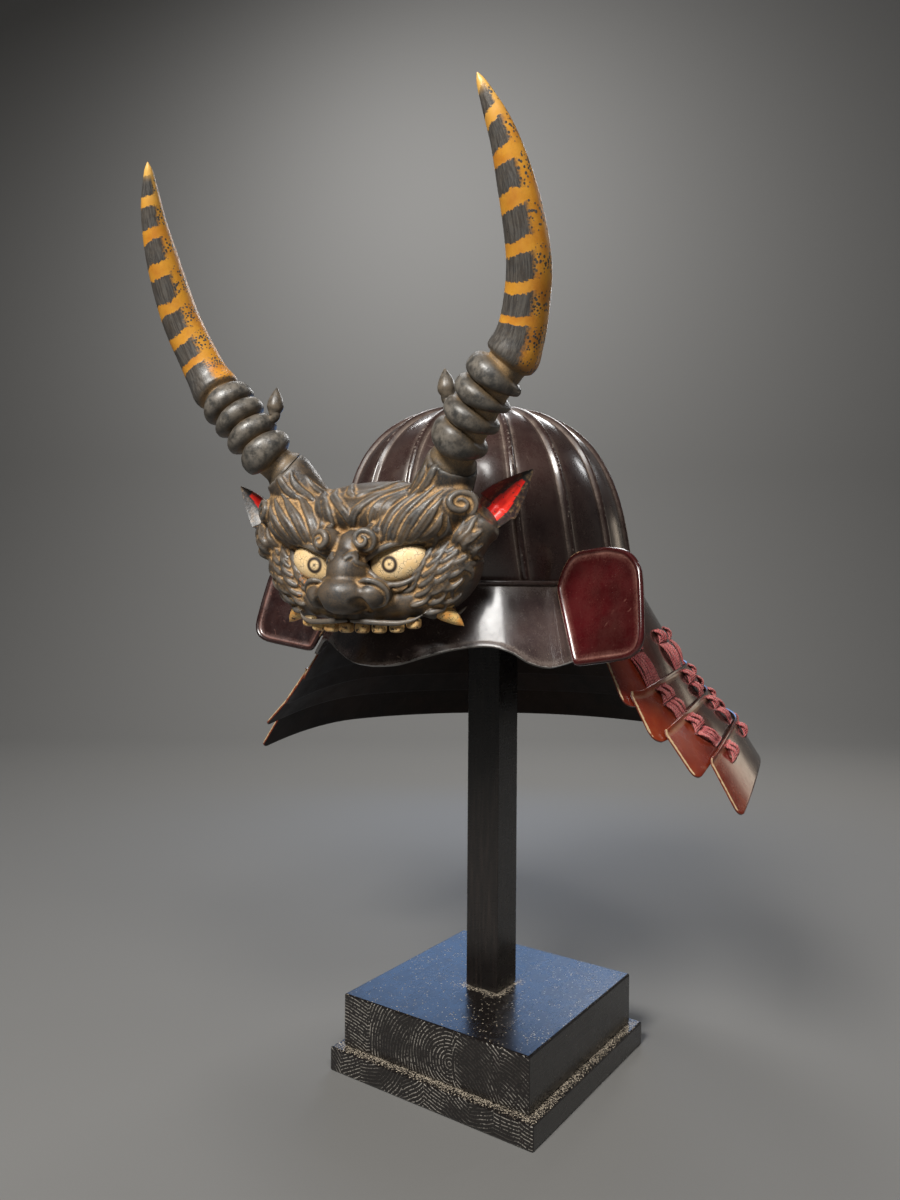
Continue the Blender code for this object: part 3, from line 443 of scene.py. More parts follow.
def woodMaterial():
    # stained, glued boards: pale filler in the growth rings of the end grain, grit on the ledges
    look = {
        "stain": tone(22, 19, 18), "streak": tone(44, 37, 34), "pale": tone(176, 170, 160),
        "grit": tone(214, 200, 178), "gritDark": tone(84, 74, 64), "boardWide": 0.044, "boardShift": 0.019,
        "ringsPerMetre": 350.0, "ringWarp": 0.004, "ringMiddle": 0.03, "ringAside": 0.09, "ringLift": 0.12,
        "ringDrop": -0.07, "gritScale": 950.0, "gritTall": 0.003, "footReach": 0.009, "coat": 0.5,
        "coatRough": 0.22,
    }
    material, tree, shader = newMaterial("stainedWood")
    place = objectPlace(tree)
    axes = axesOf(place)
    plinth, block, post = (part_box(node)[1] for node in ("base_plinth", "base_block", "post"))
    level = maths("GREATER_THAN", axes["Z"], plinth.z + 0.0002)
    # each board has its own ring centre, below or above it
    board = maths("FLOOR", maths("DIVIDE", timesPlus(level, look["boardShift"], axes["X"]), look["boardWide"]))
    board = timesPlus(level, 7.0, board)
    chance = [maths("FRACT", times(maths("SINE", timesPlus(board, k, 1.3)), 43.7)) for k in (12.9, 78.2)]
    nearest = times(maths("ROUND", maths("DIVIDE", axes["X"], look["boardWide"])), look["boardWide"])
    across = maths("SUBTRACT", axes["X"], nearest)
    across = plus(across, timesPlus(chance[0], look["ringAside"], -look["ringAside"] / 2))
    lift = maths("SUBTRACT", axes["Z"], look["ringMiddle"])
    lift = plus(lift, timesPlus(chance[1], look["ringLift"], look["ringDrop"]))
    reach = maths("SQRT", plus(maths("POWER", across, 2.0), maths("POWER", lift, 2.0)))
    warp = noise(objectPlace(tree, (1.0, 0.15, 1.0)), 60.0, 3.0, 0.5)
    reach = timesPlus(warp, look["ringWarp"], reach)
    rings = maths("SINE", times(reach, look["ringsPerMetre"] * fullTurn))
    normal = axesOf(tree.nodes.new("ShaderNodeNewGeometry").outputs["Normal"])
    endGrain = times(ramp(maths("ABSOLUTE", normal["Y"]), 0.6, 0.9),
                     maths("LESS_THAN", axes["Z"], block.z + 0.001))
    dashes = ramp(noise(place, 560.0, 3.0), 0.45, 0.50)
    patches = ramp(noise(place, 34.0, 3.0), 0.42, 0.58, 0.10, 1.0)
    line = times(times(ramp(rings, 0.62, 0.85), dashes), patches)
    # the fibres run along the boards and up the post
    boardFibre = noise(objectPlace(tree, (1.0, 0.04, 1.0)), 900.0, 3.0)
    postFibre = noise(objectPlace(tree, (1.0, 1.0, 0.06)), 420.0, 3.0)
    streak = mixColour(maths("LESS_THAN", axes["Z"], block.z), postFibre, boardFibre)
    colour = mixColour(ramp(streak, 0.40, 0.75, 0.0, 0.7), look["stain"], look["streak"])
    colour = mixColour(times(line, times(endGrain, 0.80)), colour, look["pale"])
    # grit on the plinth's ledge and round the post's foot, and a little of it everywhere on top
    upward = ramp(normal["Z"], 0.6, 0.95)
    size = maths("MAXIMUM", maths("ABSOLUTE", axes["X"]), maths("ABSOLUTE", axes["Y"]))
    ledge = times(ramp(size, plinth.x + 0.003, block.x), ramp(axes["Z"], plinth.z + look["gritTall"], plinth.z))
    foot = times(ramp(size, post.x + look["footReach"], post.x),
                 ramp(axes["Z"], block.z + look["gritTall"], block.z))
    corner = times(maths("MAXIMUM", ledge, foot), upward)
    amount = plus(times(corner, 0.95), times(upward, ramp(noise(place, 45.0, 3.0), 0.5, 0.7, 0.03, 0.12)))
    grains = cells(place, look["gritScale"]).outputs
    draws = axesOf(grains["Color"])
    grit = times(maths("LESS_THAN", draws["X"], amount), ramp(grains["Distance"], 0.62, 0.45))
    colour = mixColour(grit, colour, mixColour(draws["Y"], look["gritDark"], look["grit"]))
    rough = timesPlus(grit, 0.5, ramp(noise(place, 70.0), 0.3, 0.7, 0.24, 0.31), clamp=True)
    setInputs(shader, Base_Color=colour, Roughness=rough, Coat_Weight=look["coat"],
              Coat_Roughness=look["coatRough"])
    bump(shader, timesPlus(grit, 2.0, timesPlus(streak, 0.4, times(line, 0.3))), 0.40, 0.6 * mm)
    return material


def carvedMaterial():
    # black lacquer over carved wood: ochre dust in the grooves, grey ridges that are part wear and part painted
    # highlight, orange scars
    look = {
        "black": tone(34, 34, 35), "grey": tone(122, 120, 116), "ochre": tone(184, 146, 98),
        "scar": tone(208, 132, 68), "film": 0.15, "ridgeWearAndHighlight": 0.85, "streak": 0.24, "dustScale": 70.0,
        "scarScale": 160.0, "scarAmount": 0.20,
    }
    material, tree, shader = newMaterial("carvedLacquer")
    place = objectPlace(tree)
    # grey on the ridges: worn lacquer, and a painted highlight on them
    colour = mixColour(times(readPoint(tree, "wear"), look["ridgeWearAndHighlight"]), look["black"], look["grey"])
    streaks = noise(objectPlace(tree, (1.0, 1.0, 2.2)), 130.0, 6.0, 0.75)
    colour = mixColour(ramp(streaks, 0.54, 0.78, 0.0, look["streak"]), colour, look["ochre"])
    dusty = useGroup(dustGroup, Vector=place, Color=colour, Dust=look["ochre"], Hollow=readPoint(tree, "hollow"),
                     Scale=look["dustScale"], Film=look["film"])
    worn = useGroup(wearGroup, Vector=place, Color=dusty["Color"], Worn=look["scar"],
                    Mask=readPoint(tree, "scar"), Scale=look["scarScale"], Amount=look["scarAmount"])
    rough = timesPlus(dusty["Dust"], 0.4, ramp(noise(place, 180.0, 4.0, 0.7), 0.3, 0.7, 0.28, 0.46), clamp=True)
    setInputs(shader, Base_Color=worn["Color"], Roughness=rough)
    bump(shader, plus(noise(place, 700.0, 5.0, 0.7), worn["Worn"]), 0.35, 0.5 * mm)
    return material


def paintMaterial(name, look):
    # thin old paint that has cracked and flaked down to the dark ground
    material, tree, shader = newMaterial(name)
    place = objectPlace(tree)
    cloud = ramp(noise(place, look["scale"], 4.0, 0.65), 0.35, 0.65)
    colour = mixColour(cloud, look["colour"], look["second"])
    cellEdges = cells(place, look["crackScale"], feature="DISTANCE_TO_EDGE").outputs["Distance"]
    cracks = times(ramp(cellEdges, 0.05, 0.01), ramp(noise(place, look["scale"] * 2.0, 3.0), 0.42, 0.60))
    flakes = ramp(noise(place, look["scale"] * 1.3, 6.0, 0.72), look["flake"], look["flake"] + 0.03)
    # the dark points give the eyes their pupils, and make the teeth darker towards their tops and the tusks
    # darker at their roots
    mask = maths("MAXIMUM", maths("MAXIMUM", cracks, flakes), readPoint(tree, "dark"), clamp=True)
    setInputs(shader, Base_Color=mixColour(mask, colour, look["ground"]), Roughness=look["rough"])
    bump(shader, maths("SUBTRACT", noise(place, 900.0, 3.0), mask), 0.4, 0.4 * mm)
    return material


def hornMaterial():
    # gold lacquer with dark bands and spots towards the middle, dark dusty rings at the root
    look = {
        "gold": tone(206, 144, 46), "deep": tone(184, 116, 34), "tip": tone(218, 168, 84),
        "dark": tone(88, 86, 83), "deepDark": tone(52, 51, 51), "ring": tone(50, 50, 49),
        "ringWorn": tone(108, 104, 98), "dust": tone(168, 136, 92), "bands": 10.6, "bandWobble": 0.045,
        "bandSlant": 0.030, "spotScale": 430.0, "spotSoft": 0.15, "dustScale": 80.0, "film": 0.07,
        "scratchScale": 120.0, "scratch": 0.4,
    }
    material, tree, shader = newMaterial("hornLacquer")
    place = objectPlace(tree)
    onHorn = readPoint(tree, "hornSpace", "Vector")
    along, side = readPoint(tree, "along"), readPoint(tree, "inner")
    gold = mixColour(ramp(noise(onHorn, 60.0), 0.35, 0.7), look["gold"], look["deep"])
    gold = mixColour(ramp(along, 0.82, 0.97), gold, look["tip"])
    # wide dark bands; on the gold side they break up into spots
    wobble = timesPlus(noise(onHorn, 40.0, 3.0), look["bandWobble"], along)
    wobble = timesPlus(side, look["bandSlant"], wobble)
    wave = maths("SINE", times(wobble, fullTurn * look["bands"]))
    ragged = timesPlus(noise(onHorn, 420.0, 4.0, 0.7), 1.1, -0.55)
    level = plus(plus(timesPlus(wave, 0.75, 0.52), ragged), ramp(along, 0.42, 0.35, 0.0, 0.9))
    spots = setInputs(cells(onHorn, look["spotScale"], feature="SMOOTH_F1"), Smoothness=look["spotSoft"])
    dots = ramp(timesPlus(wave, 0.10, times(spots.outputs["Distance"], -1.0)), -0.36, -0.30)
    gilt = ramp(plus(side, times(ragged, 0.14)), 0.27, 0.16)
    band = mixColour(gilt, ramp(level, 0.10, 0.22), times(dots, ramp(level, -0.15, 0.10)))
    # streaks along the horn in the dark
    streaks = noise(vectorMaths("MULTIPLY", onHorn, (1.0, 1.0, 0.06)), 900.0, 4.0, 0.7)
    dark = mixColour(ramp(streaks, 0.38, 0.66), look["deepDark"], look["dark"])
    colour = mixColour(times(band, ramp(along, 0.985, 0.94)), gold, dark)
    ringWorn = times(readPoint(tree, "wear"), ramp(noise(place, 160.0, 5.0, 0.7), 0.35, 0.65))
    ringColour = mixColour(ringWorn, look["ring"], look["ringWorn"])
    colour = mixColour(readPoint(tree, "ringed"), colour, ringColour)
    dusty = useGroup(dustGroup, Vector=place, Color=colour, Dust=look["dust"], Hollow=readPoint(tree, "hollow"),
                     Scale=look["dustScale"], Film=look["film"])
    marks = useGroup(scratchGroup, Vector=onHorn, Scale=look["scratchScale"], Amount=look["scratch"])
    rough = timesPlus(dusty["Dust"], 0.35, ramp(noise(place, 120.0, 4.0, 0.7), 0.3, 0.7, 0.26, 0.42), clamp=True)
    setInputs(shader, Base_Color=mixColour(marks["Speck"], dusty["Color"], look["dark"]), Roughness=rough)
    bump(shader, timesPlus(band, 0.5, plus(streaks, noise(place, 500.0, 4.0, 0.7))), 0.25, 0.5 * mm)
    return material


def cordMaterial():
    # faded silk: strands dusty on top, and painted shade in the groove between the plies
    look = {"colour": tone(186, 80, 84), "faded": tone(216, 126, 122), "deep": tone(104, 34, 38),
            "dust": tone(198, 160, 142), "rough": 0.85, "sheen": 0.35, "sheenRough": 0.4}
    material, tree, shader = newMaterial("silkCord")
    place = objectPlace(tree)
    colour = mixColour(ramp(noise(place, 120.0), 0.3, 0.7), look["colour"], look["faded"])
    # painted shade: the deep colour darkens the groove between the two plies
    colour = mixColour(readPoint(tree, "groove"), colour, look["deep"])
    fibre = noise(place, 2600.0, 3.0, 0.7)
    colour = mixColour(ramp(fibre, 0.52, 0.75, 0.0, 0.5), colour, look["dust"])
    setInputs(shader, Base_Color=colour, Roughness=look["rough"], Sheen_Weight=look["sheen"],
              Sheen_Roughness=look["sheenRough"])
    bump(shader, fibre, 0.5, 0.4 * mm)
    return material


def earMaterial():
    # black paint with a red inside
    look = {"red": tone(198, 22, 18), "bright": tone(228, 48, 32), "black": tone(36, 34, 34),
            "worn": tone(120, 96, 66), "rough": 0.38}
    material, tree, shader = newMaterial("earPaint")
    place = objectPlace(tree)
    red = mixColour(ramp(noise(place, 130.0, 4.0, 0.65), 0.3, 0.7), look["red"], look["bright"])
    black = mixColour(ramp(noise(place, 260.0, 5.0, 0.7), 0.45, 0.75), look["black"], look["worn"])
    inside = times(readPoint(tree, "inside"), ramp(noise(place, 240.0, 5.0, 0.7), 0.66, 0.60))
    setInputs(shader, Base_Color=mixColour(inside, black, red), Roughness=look["rough"])
    bump(shader, noise(place, 420.0), 0.3, 0.5 * mm)
    return material


def plainMaterial(name, look):
    material, tree, shader = newMaterial(name)
    place = objectPlace(tree)
    cloud = ramp(noise(place, look["scale"], 5.0, 0.7), 0.3, 0.7)
    setInputs(shader, Base_Color=mixColour(cloud, look["colour"], look["second"]), Roughness=look["rough"],
              Metallic=look["metal"])
    bump(shader, noise(place, look["scale"] * 8.0), 0.3, 0.5 * mm)
    return material


print("materials")
bowlLacquer = lacquer("bowlLacquer", bowlLook)
visorLacquer = lacquer("visorLacquer", visorLook)
flapLacquer = lacquer("flapLacquer", flapLook)
plateLacquer = lacquer("plateLacquer", plateLook)
insideLacquer = lacquer("insideLacquer", insideLook)
carvedLacquer = carvedMaterial()
hornLacquer = hornMaterial()
silkCord = cordMaterial()
stainedWood = woodMaterial()
earPaint = earMaterial()
eyePaint = paintMaterial("eyePaint", {
    "colour": tone(232, 196, 140), "second": tone(240, 212, 166), "ground": tone(50, 40, 34), "scale": 110.0,
    "crackScale": 330.0, "flake": 0.66, "rough": 0.5})
toothPaint = paintMaterial("toothPaint", {
    "colour": tone(222, 190, 132), "second": tone(204, 154, 94), "ground": tone(38, 30, 26), "scale": 240.0,
    "crackScale": 420.0, "flake": 0.57, "rough": 0.45})
tuskPaint = paintMaterial("tuskPaint", {
    "colour": tone(214, 150, 74), "second": tone(224, 188, 120), "ground": tone(54, 40, 30), "scale": 170.0,
    "crackScale": 420.0, "flake": 0.58, "rough": 0.42})
bracketIron = plainMaterial("bracketIron", {
    "colour": tone(40, 36, 34), "second": tone(62, 54, 48), "scale": 90.0, "rough": 0.5, "metal": 0.7})


# Stand: the CAD boards keep their shape

for node in ("base_plinth", "base_block", "post", "head_rest", "crest_bracket"):
    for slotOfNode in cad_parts[node].material_slots:
        slotOfNode.material = bracketIron if node == "crest_bracket" else stainedWood
print("stand")


# Bowl

helmet = {
    "rimHeight": 0.4173, "wide": 0.1170, "long": 0.1380, "tall": 0.1470, "setBack": 0.0030, "wall": 0.0025,
    "square": 2.60, "lean": 0.0180, "crown": 0.11, "seat": 0.0050, "gap": 0.0003,
    "ribs": 18, "ribTurn": 7.0, "ribHalf": 3.7 * mm, "ribProud": 2.7 * mm,
    "rimTall": 0.0038, "rimProud": 0.0075, "rimColumns": 240, "rimSteps": 8, "rows": 66, "between": 9,
    "innerColumns": 120, "innerRows": 30, "panelBulge": 0.45 * mm, "crownBulge": 0.2 * mm,
}
# across a rib from its middle: share of its half width, share of its height, dust beside it
ribSection = (
    (-1.25, 0.0, 0.25), (-1.0, -0.10, 0.85), (-0.80, 0.10, 0.55), (-0.55, 0.72, 0.0), (-0.28, 0.97, 0.0),
    (0.0, 1.0, 0.0), (0.28, 0.97, 0.0), (0.55, 0.72, 0.0), (0.80, 0.10, 0.55), (1.0, -0.10, 0.85),
    (1.25, 0.0, 0.25),
)


def roundHelmet(angle, wide, long, z):
    turn = math.radians(angle)
    return Vector((wide * math.sin(turn), helmet["setBack"] - long * math.cos(turn), z))


def underRim():
    # the height at which the visor and the neck guard start
    return helmet["rimHeight"] - helmet["gap"]


def bowlFoot():
    return helmet["rimHeight"] + helmet["rimTall"] + helmet["gap"]


def bowlPoint(angle, lift, inset=0.0, proud=0.0):
    power = 2.0 / helmet["square"]
    radius = max(0.0, math.cos(math.radians(lift))) ** power
    height = math.sin(math.radians(lift)) ** power
    wide = (helmet["wide"] - inset) * radius + proud * radius ** 0.5
    long = (helmet["long"] - inset) * radius + proud * radius ** 0.5
    z = bowlFoot() + (helmet["tall"] - inset) * height + proud * height
    point = roundHelmet(angle, wide, long, z)
    point.y -= helmet["lean"] * (1.0 - (1.0 - height) ** 3)
    return point


def makeBowl():
    rows, between = helmet["rows"], helmet["between"]
    innerColumns, innerRows = helmet["innerColumns"], helmet["innerRows"]
    crownLift = math.degrees(math.acos(helmet["crown"] ** (helmet["square"] / 2)))
    step = 360.0 / helmet["ribs"]
    bm = bmesh.new()
    rings, dust, wear = [], [], []
    for i in range(rows + 1):
        lift = crownLift * (i / rows) ** 0.9
        radius = max(helmet["crown"], math.cos(math.radians(lift)) ** (2.0 / helmet["square"]))
        half = math.degrees(helmet["ribHalf"] / (helmet["wide"] * radius))
        half = min(half, step * 0.36)
        fade = min(1.0, (radius - helmet["crown"]) / 0.06)
        ring = []
        for rib in range(helmet["ribs"]):
            middle = helmet["ribTurn"] + rib * step
            for share, proud, dirt in ribSection:
                ring.append(bowlPoint(middle + share * half, lift, 0.0, proud * helmet["ribProud"] * fade))
                dust.append(dirt * 0.8)
                wear.append(0.34 if proud > 0.9 else 0.0)
            start, end = middle + half * 1.25, middle + step - half * 1.25
            for k in range(1, between + 1):
                t = k / (between + 1)
                bulge = helmet["panelBulge"] * math.sin(math.pi * t)
                ring.append(bowlPoint(start + (end - start) * t, lift, 0.0, bulge))
                dust.append(0.0)
                wear.append(0.0)
        rings.append(ring)
    rings.append([bowlPoint(0, 90.0, 0.0, helmet["crownBulge"])])
    dust.append(0.3)
    wear.append(0.0)
    inner = []
    for i in range(innerRows):
        lift = 90.0 * i / innerRows
        inner.append([bowlPoint(360.0 * k / innerColumns, lift, helmet["wall"]) for k in range(innerColumns)])
    outerRows = skin(bm, rings, caps=False)
    innerRowsMade = skin(bm, inner + [[bowlPoint(0, 90.0, helmet["wall"])]], caps=False)
    dust += [0.0] * (innerRows * innerColumns + 1)
    wear += [0.0] * (innerRows * innerColumns + 1)
    edges = [bm.edges.get((row[k], row[(k + 1) % len(row)])) for row in (outerRows[0], innerRowsMade[0])
             for k in range(len(row))]
    bmesh.ops.bridge_loops(bm, edges=edges)
    facesOut(bm)
    piece = newPiece("helmetBowl", bm, bowlLacquer, ["bowl"])
    lacquerMarks(piece, dust, wear)


def makeRim():
    bm = bmesh.new()
    tall, proud, edge = helmet["rimTall"], helmet["rimProud"], helmet["rimTall"] * 0.5
    steps, columns = helmet["rimSteps"], helmet["rimColumns"]
    section = [(-helmet["wall"], 0.0)]
    for k in range(steps + 1):
        turn = math.pi * (k / steps - 0.5)
        section.append((proud - edge + edge * math.cos(turn), edge + edge * math.sin(turn)))
    section.append((-helmet["wall"], tall))
    rows = []
    for k in range(columns):
        rows.append([bm.verts.new(roundHelmet(360.0 * k / columns, helmet["wide"] + r, helmet["long"] + r,
                                              helmet["rimHeight"] + z)) for r, z in section])
    for k, row in enumerate(rows):
        after = rows[(k + 1) % columns]
        for j in range(len(section)):
            m = (j + 1) % len(section)
            bm.faces.new((row[j], after[j], after[m], row[m]))
    facesOut(bm)
    piece = newPiece("bowlRim", bm, bowlLacquer, ["bowl_rim"])
    # dust in the two inner corners
    dust = [0.5] + [0.1] * (len(section) - 2) + [0.5]
    lacquerMarks(piece, np.tile(dust, columns), 0.15)


makeBowl()
makeRim()
print("bowl")


# Visor

visor = {
    "wall": 0.0020, "depth": 0.0660, "flare": 25.0, "halfAngle": 59.0, "bead": 0.8 * mm, "perDegree": 0.0024,
    "chipAt": -24.0, "chipWide": 3.5, "chipTall": 7.0, "columns": 200, "rows": 26,
}
# lower edge: degrees from the front, share of the slope
visorEdge = ((0.0, 1.00), (8.0, 0.97), (16.0, 0.87), (25.0, 0.77), (34.0, 0.735), (40.0, 0.80), (45.0, 0.93),
             (50.0, 0.985), (55.0, 0.95), (59.0, 0.90))


def visorPoint(angle, slope, under=0.0):
    flare = math.radians(visor["flare"])
    out = helmet["seat"] + slope * math.sin(flare) - under * math.cos(flare)
    down = slope * math.cos(flare) + under * math.sin(flare)
    return roundHelmet(angle, helmet["wide"] + out, helmet["long"] + out, underRim() - down)


def makeVisor():
    columns, rows = visor["columns"], visor["rows"]
    over, under, hollow, wear = [], [], [], []
    for r in range(rows + 1):
        share = r / rows
        topRow, lowRow, dust, worn = [], [], [], []
        for c in range(columns + 1):
            angle = visor["halfAngle"] * (2.0 * c / columns - 1.0)
            foot = visor["depth"] * curveThrough(visorEdge, abs(angle))[0]
            fromEdge = min(foot * (1.0 - share), (visor["halfAngle"] - abs(angle)) * visor["perDegree"]) / mm
            bead = visor["bead"] * bell(fromEdge, 1.0, 1.1)
            outside = visorPoint(angle, foot * share, -bead)
            inside = visorPoint(angle, foot * share, visor["wall"] + bead * 0.4)
            outside.z, inside.z = min(outside.z, underRim()), min(inside.z, underRim())
            topRow.append(outside)
            lowRow.append(inside)
            dust.append(0.55 * bell(fromEdge, 3.4, 1.2) + 0.5 * math.exp(-share * rows / 1.5))
            chip = bell(angle, visor["chipAt"], visor["chipWide"]) * bell(fromEdge, 0.0, visor["chipTall"])
            worn.append(0.55 * bell(fromEdge, 0.0, 1.6) + 0.62 * chip)
        over.append(topRow)
        under.append(lowRow)
        hollow += dust
        wear += worn
    bm = bmesh.new()
    closedSheet(bm, over, under)
    facesOut(bm)
    piece = newPiece("visorPeak", bm, visorLacquer, ["visor"], 70.0)
    lacquerMarks(piece, hollow + [0.0] * len(hollow), wear + wear)


makeVisor()
print("visor")


# Neck guard

guard = {
    "wall": 0.0020, "flare": 0.1015, "flareBack": 0.0955, "drop": 0.1415, "droop": 0.13, "splay": 0.20,
    "droopFrom": 105.0, "droopOver": 28.0, "corner": 0.0075, "lip": 0.0012,
    "cornerSteps": 10, "middleSteps": 130, "tintFrom": 22.0, "tintOver": 45.0,
}
# shares of the flare and the drop at each plate's top and foot, and its front angle
plates = (
    {"topOut": 0.000, "topDrop": 0.000, "footOut": 0.416, "footDrop": 0.516, "front": 65.7},
    {"topOut": 0.395, "topDrop": 0.456, "footOut": 0.577, "footDrop": 0.654, "front": 68.0},
    {"topOut": 0.564, "topDrop": 0.610, "footOut": 0.788, "footDrop": 0.796, "front": 71.3},
    {"topOut": 0.796, "topDrop": 0.764, "footOut": 1.000, "footDrop": 1.000, "front": 77.0},
)


def guardPoint(angle, out, drop, proud=0.0):
    share = (guard["droopFrom"] - (180.0 - abs(angle - 180.0))) / guard["droopOver"]
    front = within(share, 0.0, 1.2) ** 2
    side = guard["flare"] * out * (1.0 + guard["splay"] * front) + proud
    back = guard["flareBack"] * out * (1.0 + guard["splay"] * front) + proud
    z = underRim() - guard["drop"] * drop * (1.0 + guard["droop"] * front)
    return roundHelmet(angle, helmet["wide"] + helmet["seat"] + side, helmet["long"] + helmet["seat"] + back, z)


def platePoint(plate, angle, share, proud=0.0):
    out = plate["topOut"] + (plate["footOut"] - plate["topOut"]) * share
    drop = plate["topDrop"] + (plate["footDrop"] - plate["topDrop"]) * share
    slope = math.atan2((plate["footOut"] - plate["topOut"]) * guard["flare"],
                       (plate["footDrop"] - plate["topDrop"]) * guard["drop"])
    point = guardPoint(angle, out, drop, proud * math.cos(slope))
    point.z += proud * math.sin(slope)
    return point


def plateTall(plate):
    return math.hypot((plate["footOut"] - plate["topOut"]) * guard["flare"],
                      (plate["footDrop"] - plate["topDrop"]) * guard["drop"])


def makePlates():
    for number, plate in enumerate(plates, start=1):
        reach = 180.0 - plate["front"]
        cornerTurn = math.degrees(guard["corner"] / (helmet["wide"] + guard["flare"] * plate["footOut"]))
        cornerSteps, middleSteps = guard["cornerSteps"], guard["middleSteps"]
        offsets = [reach - cornerTurn * (k / cornerSteps) for k in range(cornerSteps)]
        offsets += [(reach - cornerTurn) * (1.0 - 2.0 * k / middleSteps) for k in range(middleSteps + 1)]
        offsets += [-x for x in offsets[cornerSteps - 1::-1]]
        angles = [180.0 - x for x in offsets]
        tall = plateTall(plate)
        radius = helmet["wide"] + guard["flare"] * plate["footOut"]
        # share of the height, metres off the plate, share of the wall behind it
        profile = [(0.0, guard["lip"], 0.55)] if number > 1 else [(0.0, 0.0, 1.0)]
        if number > 1:
            profile += [(0.5 * mm / tall, guard["lip"] * 1.15, 1.0), (1.2 * mm / tall, guard["lip"], 1.0),
                        (2.2 * mm / tall, guard["lip"] * 0.35, 1.0), (3.2 * mm / tall, 0.0, 1.0)]
        profile += [(0.12 + 0.88 * k / 16, 0.0, 1.0) for k in range(16)]
        profile += [(0.99, 0.0, 1.0), (1.0, -0.2 * mm, 0.8)]
        over, under, hollow, wear, tint = [], [], [], [], []
        for share, proud, thick in profile:
            outerRow, innerRow = [], []
            for angle in angles:
                inside = max(0.0, (cornerTurn - (reach - abs(angle - 180.0))) / cornerTurn)
                keep = 1.0 - (1.0 - math.sqrt(max(0.0, 1.0 - inside ** 2))) * min(0.8, guard["corner"] / tall)
                place = share * keep
                outside = platePoint(plate, angle, place, proud)
                inner = platePoint(plate, angle, place, proud - guard["wall"] * thick)
                if number == 1:
                    outside.z, inner.z = min(outside.z, underRim()), min(inner.z, underRim())
                outerRow.append(outside)
                innerRow.append(inner)
                fromFront = math.radians(reach - abs(angle - 180.0)) * radius / mm
                fromFoot = (keep - place) * tall / mm
                wear.append(0.50 * bell(fromFront, 0.0, 0.8) + 0.24 * bell(min(fromFront, fromFoot), 0.0, 3.5))
                hollow.append(0.8 * bell(share * tall / mm, 3.6, 1.3) if number > 1 else 0.0)
                tint.append(within((fromFront - guard["tintFrom"]) / guard["tintOver"]))
            over.append(outerRow)
            under.append(innerRow)
        bm = bmesh.new()
        closedSheet(bm, over, under)
        facesOut(bm)
        piece = newPiece("neckPlate%d" % number, bm, plateLacquer, ["shikoro_lame_%d" % number],
                         70.0)
        rest = len(hollow)
        lacquerMarks(piece, hollow + [0.0] * rest, wear + [0.0] * rest, tint + [0.5] * rest)
        # the inside is plain dark lacquer
        piece.data.materials.append(insideLacquer)
        for polygon in piece.data.polygons:
            if min(polygon.vertices) >= rest:
                polygon.material_index = 1


makePlates()
print("neck guard")


# Flaps beside the visor

flap = {
    "wide": 0.0790, "tall": 0.0870, "wall": 0.0026, "bead": 0.0022, "inner": (0.1090, -0.0785, 0.4160),
    "yaw": 16.5, "lean": 11.0, "dish": 1.2 * mm, "foldBulge": 1.5 * mm, "foldRows": 12, "foldColumns": 6,
    "rightTint": 0.9, "cornerSteps": 8,
}
# outline from the lower inner corner: shares of width and height, roundness
# the last four rows run down the fold
flapOutline = (
    (0.30, -0.67, 0.06), (1.09, -0.55, 0.20), (1.00, -0.12, 0.0), (0.90, 0.29, 0.22), (0.52, 0.345, 0.0),
    (0.04, 0.31, 0.16), (-0.06, 0.0, 0.0), (0.031, -0.17, 0.0), (0.12, -0.335, 0.0), (0.209, -0.50, 0.0),
)
# where the fold meets the first plate's front edge: shares of its height
flapFold = (0.05, 0.50)


def flapRing(points, inset, height, base, outward, upward, face):
    middle = sum(points, Vector((0, 0))) / len(points)
    ring = []
    for k, p in enumerate(points):
        along = (points[(k + 1) % len(points)] - points[k - 1]).normalized()
        inward = Vector((-along.y, along.x))
        if inward.dot(middle - p) < 0:
            inward = -inward
        flat = p + inward * inset
        ring.append(base + outward * flat.x + upward * flat.y + face * height)
    return ring


def flapPoints(steps):
    # the outline in metres, its corners rounded and its sides bowed a little
    rows = [Vector((x * flap["wide"], y * flap["tall"])) for x, y, _ in flapOutline]
    points = []
    for k, (x, y, roundness) in enumerate(flapOutline):
        here = rows[k]
        before, after = rows[k - 1], rows[(k + 1) % len(rows)]
        if roundness == 0.0:
            points.append(here)
        else:
            toBefore, toAfter = (before - here).normalized(), (after - here).normalized()
            reach = roundness * (flap["wide"] + flap["tall"]) / 2
            start, end = here + toBefore * reach, here + toAfter * reach
            for s in range(steps + 1):
                t = s / steps
                points.append(start * (1 - t) ** 2 + here * 2 * t * (1 - t) + end * t ** 2)
    # soften what is left of the corners
    dense = []
    for k, p in enumerate(points):
        q = points[(k + 1) % len(points)]
        pieces = max(1, int((q - p).length / (2.0 * mm)))
        dense += [p.lerp(q, s / pieces) for s in range(pieces)]
    for _ in range(6):
        dense = [p * 0.5 + (dense[k - 1] + dense[(k + 1) % len(dense)]) * 0.25 for k, p in enumerate(dense)]
    return dense


